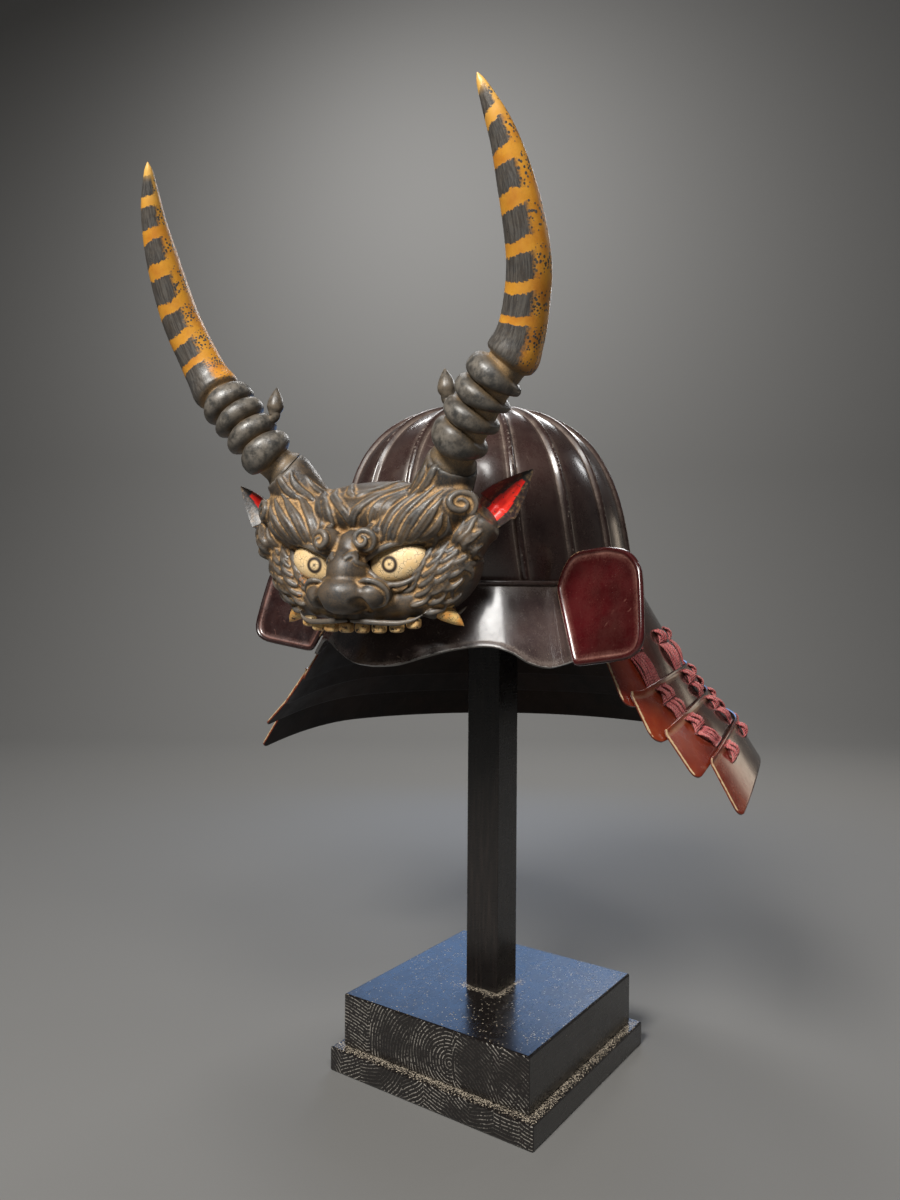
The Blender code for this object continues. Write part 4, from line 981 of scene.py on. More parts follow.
def makeFlaps():
    yaw, lean = math.radians(flap["yaw"]), math.radians(flap["lean"])
    outward = Vector((math.cos(yaw), -math.sin(yaw), 0.0))
    face = Vector((-math.sin(yaw), -math.cos(yaw), 0.0))
    upward = Vector((0, 0, 1)) * math.cos(lean) - face * math.sin(lean)
    face = face * math.cos(lean) + Vector((0, 0, 1)) * math.sin(lean)
    base = Vector(flap["inner"])
    points = flapPoints(flap["cornerSteps"])
    bead, back = flap["bead"], -flap["wall"]
    # inset from the edge, height over the face, dust, share of the edge wear
    section = [
        (14.0 * mm, back, 0.0, 0.0), (4.0 * mm, back, 0.0, 0.0), (2.2 * bead, back, 0.2, 0.0),
        (1.2 * bead, back - 0.35 * bead, 0.0, 0.1), (0.35 * bead, back - 0.15 * bead, 0.0, 0.6),
        (0.0, back * 0.55, 0.0, 1.0), (0.0, back * 0.1, 0.0, 1.0), (0.22 * bead, 0.40 * bead, 0.0, 0.9),
        (0.65 * bead, 0.66 * bead, 0.0, 0.5), (1.15 * bead, 0.60 * bead, 0.0, 0.2),
        (1.6 * bead, 0.28 * bead, 0.2, 0.0), (2.0 * bead, 0.02 * bead, 0.75, 0.0),
        (2.6 * bead, -0.10 * bead, 0.25, 0.0), (4.0 * bead, -0.15 * bead, 0.0, 0.0),
        (6.5 * bead, -0.25 * bead, 0.0, 0.0),
    ]
    edgeWear = [0.24 + 0.5 * within((0.26 * flap["wide"] - p.x) / (8 * mm)) for p in points]
    rings, hollow, wear = [], [], []
    for inset, height, dust, worn in section:
        rings.append(flapRing(points, inset, height, base, outward, upward, face))
        hollow += [dust] * len(points)
        wear += [worn * edge for edge in edgeWear]
    middle = sum(points, Vector((0, 0))) / len(points)
    centre = base + outward * middle.x + upward * middle.y
    inside = rings[-1]
    for t in (0.25, 0.5, 0.75):
        rings.append([p.lerp(centre - face * flap["dish"], t) for p in inside])
    rings.append([centre - face * flap["dish"]])
    rings.insert(0, [centre + face * back])
    hollow = [0.0] + hollow + [0.02] * (3 * len(points) + 1)
    wear = [0.0] + wear + [0.0] * (3 * len(points) + 1)
    bm = bmesh.new()
    skin(bm, rings)
    # the fold turns back to the first plate's front edge
    plate = plates[0]
    angle = plate["front"] - math.degrees(helmet["gap"] / helmet["wide"])
    foldTop, foldLow = [base + outward * x * flap["wide"] + upward * y * flap["tall"]
                        for x, y, _ in (flapOutline[6], flapOutline[9])]
    wallPoints = []
    steps, across = flap["foldRows"], flap["foldColumns"]
    for s in range(steps + 1):
        t = s / steps
        share = flapFold[0] + (flapFold[-1] - flapFold[0]) * t
        root = platePoint(plate, angle, share, -flap["wall"] * 0.5)
        land = foldTop.lerp(foldLow, t) + outward * bead + face * back * 0.5
        bulge = face * flap["foldBulge"]
        wallPoints.append([root.lerp(land, u / across) + bulge * math.sin(math.pi * u / across)
                           for u in range(across + 1)])
    off = (wallPoints[0][0] - wallPoints[0][-1]).cross(wallPoints[-1][0] - wallPoints[0][0]).normalized()
    over = [[p + off * flap["wall"] * 0.5 for p in row] for row in wallPoints]
    under = [[p - off * flap["wall"] * 0.5 for p in row] for row in wallPoints]
    closedSheet(bm, over, under)
    extra = len(bm.verts) - len(hollow)
    facesOut(bm)
    piece = newPiece("flapLeft", bm, flapLacquer, ["fukigaeshi_left"], 60.0)
    lacquerMarks(piece, hollow + [0.2] * extra, wear + [0.1] * extra)
    # painted shade: the right flap is painted darker
    other = mirrorPiece(piece, "flapRight", ["fukigaeshi_right"])
    other.data.attributes["tint"].data.foreach_set("value", [flap["rightTint"]] * len(other.data.vertices))


makeFlaps()
print("flaps")


# Lacing: each column is a set of strands; a node group turns the strands into twisted cord

lace = {
    "wide": 0.0164, "strand": 0.98 * mm, "twist": 1500.0, "strands": 9,
    "places": (0.10, 0.28, 0.46, 0.64, 0.82), "strandGap": 1.75, "cross": 0.26, "knotOver": 0.3 * mm,
    "knotDip": 1.6 * mm, "knotCrown": 0.25 * mm,
    "firstKnot": 0.47, "knotTop": 2.6 * mm, "knotTall": 13.5 * mm, "knotProud": 3.4 * mm, "bulge": 2.3 * mm,
    "part": 0.35 * mm, "tuck": 1.2 * mm, "below": 2.2 * mm, "step": 1.1 * mm, "seed": 7,
}


def makeCordGroup():
    group, given, result = newGroup(
        "twistedCord",
        [("Geometry", "Geometry", None), ("Radius", "Float", None), ("Twist", "Float", None),
         ("Material", "Material", None)],
        [("Geometry", "Geometry")], "GeometryNodeTree")

    def add(kind, settings=None, **inputs):
        return addNode(group, "GeometryNode" + kind, settings, **inputs).outputs

    curve = add("MeshToCurve", Mesh=given["Geometry"])["Curve"]
    turn = times(add("SplineParameter")["Length"], given["Twist"])
    curve = add("SetCurveTilt", Curve=curve, Tilt=turn)["Curve"]
    curve = add("SetCurveRadius", Curve=curve, Radius=given["Radius"])["Curve"]
    # two plies lying side by side, with a groove between them
    profile = add("CurvePrimitiveCircle", Resolution=10, Radius=1.0)["Curve"]
    place = add("InputPosition")["Position"]
    aside = maths("ABSOLUTE", axesOf(place)["X"])
    lobes = vectorMaths("SCALE", place, Scale=timesPlus(aside, 0.52, 0.60))
    profile = add("SetPosition", Geometry=profile, Position=lobes)["Geometry"]
    # the groove share tells the cord material where to paint shade
    profile = add("StoreNamedAttribute", {"data_type": "FLOAT", "domain": "POINT"}, Geometry=profile,
                  Name="groove", Value=ramp(aside, 0.45, 0.05))["Geometry"]
    tube = addNode(group, "GeometryNodeCurveToMesh", None, Curve=curve, Profile_Curve=profile, Fill_Caps=True)
    if "Scale" in tube.inputs:
        setInputs(tube, Scale=add("InputRadius")["Radius"])
    real = add("RealizeInstances", Geometry=tube.outputs["Mesh"])["Geometry"]
    done = add("SetMaterial", Geometry=real, Material=given["Material"])["Geometry"]
    setInput(result["Geometry"], done)
    return group


cordGroup = makeCordGroup()


def cordsFrom(name, paths, radius, twist, material):
    # a plain mesh of twisted cords along the paths
    mesh = bpy.data.meshes.new(name + "Paths")
    points, edges = [], []
    for path in paths:
        start = len(points)
        points += [tuple(p) for p in path]
        edges += [(start + k, start + k + 1) for k in range(len(path) - 1)]
    mesh.from_pydata(points, edges, [])
    guide = addObject(name + "Paths", mesh)
    modifier = guide.modifiers.new("cords", "NODES")
    modifier.node_group = cordGroup
    sockets = {item.name: item.identifier for item in cordGroup.interface.items_tree if item.in_out == "INPUT"}
    modifier[sockets["Radius"]] = radius
    modifier[sockets["Twist"]] = twist
    modifier[sockets["Material"]] = material
    made = meshOnly(guide)
    made.name = name
    made.shade_smooth()
    return addObject(name, made)


def onPlate(number, place, aside, down, proud, drift=0.0):
    # a point beside a column's middle; down is in metres from the plate's top
    plate, after = plates[number], plates[min(number + 1, 3)]
    radius = helmet["wide"] + guard["flare"] * (plate["topOut"] + plate["footOut"]) / 2
    angle = plate["front"] + (180.0 - plate["front"]) * place
    angle += (after["front"] + (180.0 - after["front"]) * place - angle) * drift
    return platePoint(plate, angle + math.degrees(aside / radius), down / plateTall(plate), proud)


def samples(length):
    return max(4, int(length / lace["step"]))


def knotStrand(number, place, knotTop, side, order, k, shift):
    # one of three strands of a band that crosses the other band of the knot, over or under it
    points = []
    half, steps = lace["wide"] / 2, samples(lace["knotTall"])
    for s in range(steps + 1):
        t = s / steps
        swing = -math.cos(math.pi * t) * (-1, 1)[order]
        spread = 0.62 + 0.38 * abs(2 * t - 1)
        aside = side * half * 0.5 + half * lace["cross"] * swing
        aside += k * lace["strand"] * lace["strandGap"] * spread
        over = lace["knotOver"] + math.sin(math.pi * t) * (lace["knotProud"] * (0.55 + 0.65 * order))
        over -= lace["knotDip"] * (max(0.0, abs(2 * t - 1) - 0.8) / 0.2)
        points.append(onPlate(number, place, aside + shift, knotTop + lace["knotTall"] * t,
                              over + lace["knotCrown"] * (1 - abs(k)), 0.15 * t))
    return points


def plainStrand(number, place, start, end, aside, bow, lift):
    # a strand from a knot down to the next plate, tucked in at its top
    points = []
    steps = samples(end - start)
    for s in range(steps + 1):
        t = s / steps
        over = lace["strand"] * 0.8 + lift * math.sin(math.pi * min(1.0, t * 1.1))
        over -= lace["tuck"] * max(0.0, 0.08 - t) / 0.08
        points.append(onPlate(number, place, aside + bow * math.sin(math.pi * t), start + (end - start) * t,
                              over, t * 0.8))
    return points


def columnPaths(place, draw):
    paths = []
    for number, plate in enumerate(plates):
        tall = plateTall(plate)
        knotTop = tall * lace["firstKnot"] if number == 0 else lace["knotTop"]
        for side in (-1, 1):
            for order in (0, 1):
                for k in (-1, 0, 1):
                    shift = draw.uniform(-0.15, 0.15) * mm
                    paths.append(knotStrand(number, place, knotTop, side, order, k, shift))
        if number == 3:
            continue
        nextTop = plates[number + 1]["topDrop"]
        underTop = (nextTop - plate["topDrop"]) / (plate["footDrop"] - plate["topDrop"]) * tall
        start, end = knotTop + lace["knotTall"] - lace["tuck"], underTop + lace["below"]
        for k in range(lace["strands"]):
            aside = (k - (lace["strands"] - 1) / 2) * lace["wide"] / lace["strands"]
            aside += lace["part"] * (1 if k >= lace["strands"] / 2 else -1)
            bow = draw.uniform(-0.25, 0.35) * mm
            lift = lace["bulge"] * draw.uniform(0.6, 1.5)
            paths.append(plainStrand(number, place, start, end, aside, bow, lift))
    return paths


def makeLacing():
    draw = random.Random(lace["seed"])
    columns = [("lacing_back", 1.0)] + [("lacing_left_%d" % (i + 1), p) for i, p in enumerate(lace["places"])]
    for node, place in columns:
        paths = columnPaths(place, draw)
        piece = cordsFrom(node.replace("_", ""), paths, lace["strand"], lace["twist"], silkCord)
        declare(piece, [node])
        if place < 1.0:
            name, other = (text.replace("left", "right") for text in (piece.name, node))
            mirrorPiece(piece, name, [other])


makeLacing()
print("lacing")


# Crest. It is made in its own frame, mm: x outward, d ahead of the face's back, z above the lip

crest = {"seat": 0.1400, "yaw": 9.0, "back": 0.0167, "lip": 0.385}
crestPlace = Matrix.Translation((0, -crest["seat"], 0)) @ Matrix.Rotation(math.radians(crest["yaw"]), 4, "Z")


def facePoint(x, d, z, side=1):
    return Vector((side * x * mm, -crest["back"] - d * mm, crest["lip"] + z * mm))


def pointing(part, side=1):
    # the direction in which an ear or a tusk grows
    x, y, z = part["up"]
    return Vector((side * x, y, z)).normalized()


def crestPiece(name, bm, material, nodes, smoothAngle=60.0):
    bm.transform(crestPlace)
    return newPiece(name, bm, material, nodes, smoothAngle)


# masses: name, middle, half sizes, turn in degrees, carved on both sides
faceMasses = (
    ("skull", (0, 7.5, 66), (88, 33, 42), 0, False), ("forehead", (0, 22, 82), (60, 26, 18), 0, False),
    ("brow", (46, 31, 74), (44, 20, 18), 24, True), ("knob", (16, 50, 62), (9.5, 11, 9.5), 0, True),
    ("socket", (33, 28, 47.5), (25, 12.5, 15), 14, True), ("cheek", (54, 17, 38), (36, 23, 25), 34, True),
    ("jaw", (34, 24, 20), (26, 17, 13), 10, True), ("muzzle", (0, 27, 17), (40, 24, 14), 0, False),
    ("noseRoot", (0, 44, 54), (12, 13, 16), 0, False), ("noseBack", (0, 50, 38), (15, 17, 20), 0, False),
    ("noseTip", (0, 56, 24.5), (18.5, 17, 14), 0, False),
    ("nostril", (20, 48.5, 24.5), (12.5, 15, 10.5), 16, True),
    ("temple", (80, 28, 86), (10, 10, 10), 0, True), ("earFold", (88, 18, 74), (9, 11, 15), 35, True),
)
# raised locks, laid on the masses: half thickness, then places (x, z) from root to tip
faceLocks = (
    (3.3, (17, 70), (18, 78), (22, 87), (30, 96)), (3.3, (22, 66), (24, 77), (30, 88), (40, 97)),
    (3.4, (26, 60), (29, 70), (35, 81), (45, 91), (53, 98)),
    (3.4, (31, 58), (36, 67), (43, 78), (53, 88), (63, 98)),
    (3.3, (37, 58), (44, 66), (51, 75), (60, 85), (70, 96)),
    (3.2, (44, 60), (52, 66), (60, 74), (66, 82), (71, 90)),
    (3.0, (50, 61), (60, 66), (67, 72), (71, 79)), (2.6, (55, 61), (64, 64), (71, 69), (74, 76)),
    (2.6, (5, 84), (14, 90.5), (23, 96.5), (32, 104)), (2.6, (26, 88), (34, 96), (42, 103), (48, 112)),
    (2.4, (0, 93), (8, 97), (15, 102), (22, 109)), (2.4, (38, 92), (47, 99), (53, 106), (56, 115)),
    (2.4, (50, 94), (58, 101), (63, 109), (66, 117)), (2.6, (0, 72), (3, 80), (9, 86), (18, 90)),
    (2.8, (66, 31), (70, 41), (77, 45), (83, 42), (83, 36)),
    (2.6, (55, 21), (60, 30), (67, 33), (71, 29), (70, 23)),
    (2.2, (4, 48), (9, 52), (11, 47), (16, 43)), (2.6, (78, 66), (85, 71), (91, 80)),
    (2.5, (77, 58), (86, 62), (94, 68)), (2.4, (76, 50), (85, 53), (93, 58)),
    (2.4, (73, 43), (81, 45), (89, 49)),
)
# spiral curls: middle (x, z), radius, turns, half thickness
faceCurls = ((17, 62, 7.8, 1.6, 2.4), (81, 86, 9.0, 1.7, 2.5))
# rows of pointed tufts: count, first and last root (x, z), lengths, directions in degrees, half thickness
tuftRows = (
    (6, (54, 55), (37, 26), (24, 18), (62, 38), 2.0), (7, (62, 56), (43, 17), (25, 20), (62, 34), 2.1),
    (8, (70, 58), (50, 12), (26, 20), (60, 28), 2.2), (7, (77, 60), (57, 12), (22, 18), (54, 20), 2.2),
)
# lids, lips and nostril rims, at their own depths: half thickness, then (x, d, z)
faceRims = (
    (2.3, (9.5, 46, 47), (16, 48.5, 50.5), (24, 49.5, 55), (33.5, 48.5, 58.5), (44, 44.5, 61), (54, 37, 63)),
    (2.3, (9.5, 46, 47), (17, 46, 38.5), (28, 45.5, 32), (40, 43, 32.5), (49, 39, 39), (55, 34.5, 52)),
    (2.1, (0, 49, 6.5), (13, 48.5, 6), (25, 46, 5.4), (37, 42, 5.4), (47, 37, 8.4), (54.5, 31, 15)),
    (2.0, (14, 59, 33), (21, 61, 34.5), (28, 58, 32.5), (32.5, 52, 26), (30, 50, 18), (22, 55, 14)),
)
face = {
    "voxel": 0.95 * mm, "baseVoxel": 1.3 * mm, "baseSoften": 14, "soften": 2, "teethSize": (4.9, 4.4, 4.0),
    "eyeMiddle": (32, 37.0, 47.5), "eyeSize": (23.0, 10.0, 14.5), "eyeTurn": 15.0, "pupil": (30.7, 45.4),
    "pupilRing": 5.0, "pupilLine": 1.5, "pupilDot": 1.2, "nostrilAt": (16.0, 17.5), "nostrilWide": 6.5 * mm,
    "nostrilDeep": 10.0 * mm, "nostrilFrom": 45 * mm, "teethDark": 6 * mm, "teethDarkOver": 3 * mm,
    "hornStem": (50, 16.5, 80), "hornStemRadii": (22 * mm, 20.5 * mm, 18.5 * mm, 17.5 * mm), "tuftBend": 14.0,
    "curlSteps": 12, "curlStart": -100.0, "curlClose": 0.82,
}
teeth = ((6.6, 41.5, 1.6), (19.6, 40.5, 1.8), (32.0, 37.5, 2.4), (43.0, 33.5, 5.2))


def addBall(bm, middle, size, turn, side, detail=4):
    place = (Matrix.Translation(facePoint(*middle, side)) @ Matrix.Rotation(-math.radians(turn) * side, 4, "Y")
             @ Matrix.Diagonal((size[0] * mm, size[1] * mm, size[2] * mm, 1)))
    return bmesh.ops.create_icosphere(bm, subdivisions=detail, radius=1.0, matrix=place)["verts"]


def onFace(tree, x, z, side):
    # the place on the smooth face straight behind (x, z), and the direction off it
    hit, normal, _, _ = tree.ray_cast(facePoint(x, 150, z, side), Vector((0, 1, 0)))
    return (hit, normal) if hit else (facePoint(x, 8, z, side), Vector((0, -1, 0)))


def addLock(bm, thick, line, offs, strands=(-0.45, 0.45), lift=0.25, widest=0.5):
    # a carved lock: strands side by side, thick in the middle and pointed
    steps = len(line) - 1
    for shift in strands:
        track, radii = [], []
        for i, (point, off) in enumerate(zip(line, offs)):
            t = i / steps
            along = (line[min(i + 1, steps)] - line[max(i - 1, 0)]).normalized()
            across = along.cross(off).normalized()
            swell = min(1.0, 0.5 + 2.4 * t) * (1.0 - max(0.0, (t - widest) / (1.0 - widest)) ** 1.5)
            track.append(point + across * shift * thick * mm * swell + off * thick * mm * lift * (0.4 + t))
            radii.append(thick * mm * (0.72 if len(strands) > 1 else 1.0) * swell)
        radii[0], radii[-1] = 0.0, 0.0
        taper(bm, track, radii, 10)


def addSurfaceLock(bm, tree, thick, places, side, **shape):
    flat = pathThrough([(x, 0.0, z) for x, z in places], 7 * (len(places) - 1))
    spots = [onFace(tree, p.x, p.z, side) for p in flat]
    # evens out steps in depth, so that a lock runs over edges smoothly
    depths = [hit.y for hit, _ in spots]
    for _ in range(3):
        depths = [(depths[max(0, k - 1)] + depths[k] + depths[min(len(depths) - 1, k + 1)]) / 3
                  for k in range(len(depths))]
    line = [Vector((hit.x, depth, hit.z)) for (hit, _), depth in zip(spots, depths)]
    addLock(bm, thick, line, [off for _, off in spots], **shape)


def solidFrom(bm, voxel, soften):
    # one closed carving from overlapping lumps
    lumps = addObject("lumps", meshFrom("lumps", bm))
    remesh = lumps.modifiers.new("oneCarving", "REMESH")
    remesh.mode = "VOXEL"
    remesh.voxel_size = voxel
    smooth = lumps.modifiers.new("soften", "SMOOTH")
    smooth.factor, smooth.iterations = 0.5, soften
    carved = bmesh.new()
    carved.from_mesh(meshOnly(lumps))
    return carved


def makeFaceBase():
    bm = bmesh.new()
    for _, middle, size, turn, both in faceMasses:
        for side in ((1, -1) if both else (1,)):
            addBall(bm, middle, size, turn, side)
    for side in (1, -1):
        root, up = hornPoint(0.0, side), hornUp(side)
        start = facePoint(*face["hornStem"], side)
        taper(bm, [start, start.lerp(root, 0.5), root - up * 2 * mm, root - up * 0.3 * mm],
              face["hornStemRadii"], 40)
        for part in (ear, tusk):
            root, up = facePoint(*part["root"], side), pointing(part, side)
            taper(bm, [root + up * along * mm for along, _ in part["stem"]],
                  [radius * mm for _, radius in part["stem"]], 30)
    base = solidFrom(bm, face["baseVoxel"], face["baseSoften"])
    for side in (1, -1):
        middle = facePoint(face["nostrilAt"][0], 0, face["nostrilAt"][1], side)
        for v in base.verts:
            away = math.hypot(v.co.x - middle.x, v.co.z - middle.z) / face["nostrilWide"]
            if away < 1.0 and v.co.y < -crest["back"] - face["nostrilFrom"]:
                v.co.y += face["nostrilDeep"] * (1.0 - away ** 2) ** 2
    return base


def makeFace():
    bm = makeFaceBase()
    tree = BVHTree.FromBMesh(bm)
    for side in (1, -1):
        for thick, *places in faceLocks:
            addSurfaceLock(bm, tree, thick, places, side)
        for x, z, radius, turns, thick in faceCurls:
            places = []
            for k in range(face["curlSteps"] + 1):
                angle = math.radians(face["curlStart"]) + fullTurn * turns * k / face["curlSteps"]
                reach = radius * (1.0 - face["curlClose"] * k / face["curlSteps"])
                places.append((x + reach * math.cos(angle), z + reach * math.sin(angle)))
            addSurfaceLock(bm, tree, thick, places, side, strands=(0.0,))
        for count, first, last, lengths, directions, thick in tuftRows:
            for k in range(count):
                t = k / (count - 1)
                x, z = (first[i] + (last[i] - first[i]) * t for i in (0, 1))
                long = lengths[0] + (lengths[1] - lengths[0]) * t
                turn = math.radians(directions[0] + (directions[1] - directions[0]) * t)
                knee = turn - math.radians(face["tuftBend"])
                places = [(x, z), (x + long * 0.5 * math.cos(knee), z + long * 0.5 * math.sin(knee)),
                          (x + long * math.cos(turn), z + long * math.sin(turn))]
                addSurfaceLock(bm, tree, thick, places, side, strands=(0.0,), lift=0.55, widest=0.35)
        for thick, *points in faceRims:
            line = pathThrough([facePoint(*p, side) for p in points], 9 * (len(points) - 1))
            addLock(bm, thick, line, [Vector((0, -1, 0))] * len(line), strands=(0.0,))
    carved = solidFrom(bm, face["voxel"], face["soften"])
    # the back is cut flat where the carving meets its bracket
    cut = bmesh.ops.bisect_plane(carved, geom=carved.verts[:] + carved.edges[:] + carved.faces[:],
                                 plane_co=(0, -crest["back"], 0), plane_no=(0, 1, 0), clear_outer=True)
    rim = [e for e in cut["geom_cut"] if isinstance(e, bmesh.types.BMEdge)]
    bmesh.ops.holes_fill(carved, edges=rim, sides=0)
    facesOut(carved)
    piece = crestPiece("carvedFace", carved, carvedLacquer, ["face"], 80.0)
    fine, broad = hollows(piece.data, 5), hollows(piece.data, 28)
    hollow = np.clip(fine * 4.0 - 0.08, 0, 1) * 0.95 + np.clip(broad * 0.85 - 0.10, 0, 1) * 0.60
    # how far each point stands out: the grey there is part wear, part painted highlight
    ridgeWearAndHighlight = np.clip(-fine * 2.6, 0, 1) * 0.7 + np.clip(-broad * 0.30, 0, 1) * 0.4
    pointValues(piece.data, "hollow", np.clip(hollow, 0, 1))
    pointValues(piece.data, "wear", np.clip(ridgeWearAndHighlight, 0, 1))
    local = meshPoints(piece.data) @ np.array(crestPlace.inverted().to_3x3()).T
    across, high = local[:, 0] / mm, (local[:, 2] - crest["lip"]) / mm
    cheek = np.exp(-((np.abs(across) - 68) / 16) ** 2 - ((high - 34) / 22) ** 2)
    root = np.exp(-((high - 116) / 8) ** 2) * (across < 0)
    pointValues(piece.data, "scar", cheek * 0.50 * np.clip(0.5 - fine * 4, 0, 1) + root * 0.30)


def hornUp(side=1):
    return (hornPoint(0.05, side) - hornPoint(0.0, side)).normalized()


horn = {
    "root": (70.0, 28.0, 117.0), "radius": 15.0 * mm, "rise": 206.0 * mm, "spread": 55.0 * mm,
    "reach": 86.0 * mm, "ringFrom": 0.030, "ringStep": 0.062, "rings": 4, "ringRadius": 1.46, "core": 0.90,
    "budRing": 1.7,
    "budLong": 22.5 * mm, "budRadius": 6.2 * mm, "budOut": (-0.80, 0.05, 0.35), "budUp": (-0.10, 0.0, 1.0),
    "budSteps": 30, "thickest": (-0.75, -0.62, 0.25), "tilt": 0.12, "seed": 3, "rows": 300, "sides": 48,
}
# middle line: share of the length, shares of rise, spread and reach
hornLine = (
    (0.00, 0.000, 0.000, 0.000), (0.06, 0.058, 0.200, 0.105), (0.12, 0.121, 0.382, 0.151),
    (0.18, 0.180, 0.545, 0.186), (0.24, 0.228, 0.691, 0.205), (0.31, 0.301, 0.927, 0.220),
    (0.42, 0.403, 1.109, 0.290), (0.58, 0.568, 1.255, 0.465), (0.80, 0.820, 1.200, 0.780),
    (1.00, 1.000, 1.000, 1.000),
)
# smooth part: share of its length, share of the radius
hornTaper = (
    (0.000, 0.90), (0.012, 1.12), (0.035, 1.20), (0.10, 1.08), (0.20, 1.00), (0.34, 0.95), (0.48, 0.88),
    (0.61, 0.77), (0.73, 0.60), (0.83, 0.46), (0.91, 0.31), (0.97, 0.17), (1.00, 0.02),
)
# bud: share of its length, share of its radius
budTaper = ((0.0, 0.75), (0.16, 0.55), (0.33, 0.75), (0.50, 1.0), (0.66, 0.80), (0.83, 0.38), (1.0, 0.0))


def hornPoint(share, side=1):
    rise, spread, reach = curveThrough(hornLine, share)
    return facePoint(*horn["root"], side) + Vector((side * spread * horn["spread"], -reach * horn["reach"],
                                                    rise * horn["rise"]))


def ringSwell(share, turn, facing, tilts):
    # 0 in the grooves, 1 on a ring's middle; the rings are thinner on the side that faces away
    swell = 0.0
    for k, tilt in enumerate(tilts):
        middle = horn["ringFrom"] + horn["ringStep"] * (k + 0.5 + tilt * math.sin(turn + k * 2.0))
        full = 0.60 + 0.40 * within(facing * 1.5, -1.0, 1.0)
        near = abs(share - middle) / (horn["ringStep"] * (0.20 + 0.30 * full))
        if near < 1.0:
            swell = (1.0 - near ** 2.4) ** 0.55 * (0.42 + 0.58 * full ** 0.7)
    return swell


def addBud(bm):
    middle = hornPoint(horn["ringFrom"] + horn["ringStep"] * horn["budRing"])
    inward, stem = Vector(horn["budOut"]).normalized(), Vector(horn["budUp"]).normalized()
    root = middle + inward * horn["radius"] * 0.9
    knee = middle + inward * horn["radius"] * (horn["ringRadius"] + 0.15)
    steps = horn["budSteps"]
    line = pathThrough([root, knee] + [knee + stem * horn["budLong"] * t for t in (0.18, 0.36, 0.62, 0.85, 1.0)],
                       steps)
    shares = [max(0.0, curveThrough(budTaper, k / steps)[0]) for k in range(steps + 1)]
    taper(bm, line, [horn["budRadius"] * share for share in shares], 20)


def makeHorns():
    smoothFrom = horn["ringFrom"] + horn["ringStep"] * (horn["rings"] + 0.12)
    rings, along, inner, ringed, hollow, wear, space = [], [], [], [], [], [], []
    side = None
    thickest = Vector(horn["thickest"]).normalized()
    draw = random.Random(horn["seed"])
    tilts = [draw.uniform(-horn["tilt"], horn["tilt"]) for _ in range(horn["rings"])]
    for i in range(horn["rows"] + 1):
        # more rows where the rings are
        share = i / horn["rows"]
        share = share * 0.62 if share < 0.5 else 0.31 + (share - 0.5) * 1.38
        point = hornPoint(share)
        direction = (hornPoint(min(1.0, share + 0.01)) - hornPoint(max(0.0, share - 0.01))).normalized()
        side = direction.cross(Vector((0, 1, 0)) if side is None else side.cross(direction)).normalized()
        over = side.cross(direction).normalized()
        ring = []
        for s in range(horn["sides"]):
            turn = fullTurn * s / horn["sides"]
            away = side * math.cos(turn) + over * math.sin(turn)
            if share < smoothFrom:
                swell = ringSwell(share, turn, away.dot(thickest), tilts)
                radius = horn["core"] + (horn["ringRadius"] - horn["core"]) * swell
                foot = bell(share, 0.0, 0.012)
                radius = radius * (1 - foot) + 1.12 * foot
                hollow.append(min(1.0, 0.75 * (1.0 - swell) ** 2) * min(1.0, 0.2 + share / 0.05))
                wear.append(swell ** 3)
                ringed.append(1.0)
            else:
                t = (share - smoothFrom) / (1.0 - smoothFrom)
                radius = curveThrough(hornTaper, t)[0]
                hollow.append(0.8 * bell(t, 0.0, 0.012))
                wear.append(0.0)
                ringed.append(bell(t, 0.0, 0.02))
            radius = max(0.02, radius) * horn["radius"]
            ring.append(point + away * radius)
            along.append(share)
            inner.append(0.5 - 0.5 * away.x * 0.8 - 0.5 * away.z * -0.3)
            space.append((math.cos(turn) * radius, math.sin(turn) * radius, share * 0.26))
        rings.append(ring)
    bm = bmesh.new()
    skin(bm, rings)
    addBud(bm)
    extra = len(bm.verts) - len(along)
    facesOut(bm)
    piece = crestPiece("hornLeft", bm, hornLacquer, ["horn_left"])
    for name, values, rest in (("along", along, 0.22), ("inner", inner, 0.5), ("ringed", ringed, 1.0),
                               ("hollow", hollow, 0.1), ("wear", wear, 0.6)):
        pointValues(piece.data, name, values + [rest] * extra)
    pointVectors(piece.data, "hornSpace", space + [(0.01, 0.0, 0.05)] * extra)
    # the gold side of both horns faces the wearer's left
    other = mirrorPiece(piece, "hornRight", ["horn_right"], crestPlace)
    other.data.attributes["inner"].data.foreach_set("value", np.array(
        [1.0 - value for value in inner] + [0.5] * extra, dtype=np.float32))


ear = {
    "root": (90, 21.75, 74), "up": (0.58, 0.16, 0.80), "faces": (0.45, -0.85, 0.1), "long": 44.0 * mm,
    "wide": 29.0 * mm, "wall": 3.4 * mm, "bend": 7.0 * mm, "cup": 0.85, "fold": 1.1 * mm, "gap": 0.3 * mm,
    "rows": 48, "columns": 32, "stem": ((-20, 14), (0, 11.5), (3, 9.5)),
    # the red panel: its two sides at the root, how they come together, and its ends
    "redSides": (-0.45, 0.60), "redSlopes": (0.25, -0.3), "redEnds": (0.04, 0.82),
}


def earHalf(t):
    # half the width at a share of the length
    if t < 0.3:
        share = 0.62 + 0.38 * math.sin(math.pi * min(1.0, t / 0.6) / 2)
    else:
        share = (1.0 - ((t - 0.3) / 0.7) ** 1.5) * 0.97 + 0.03
    return share * ear["wide"] / 2


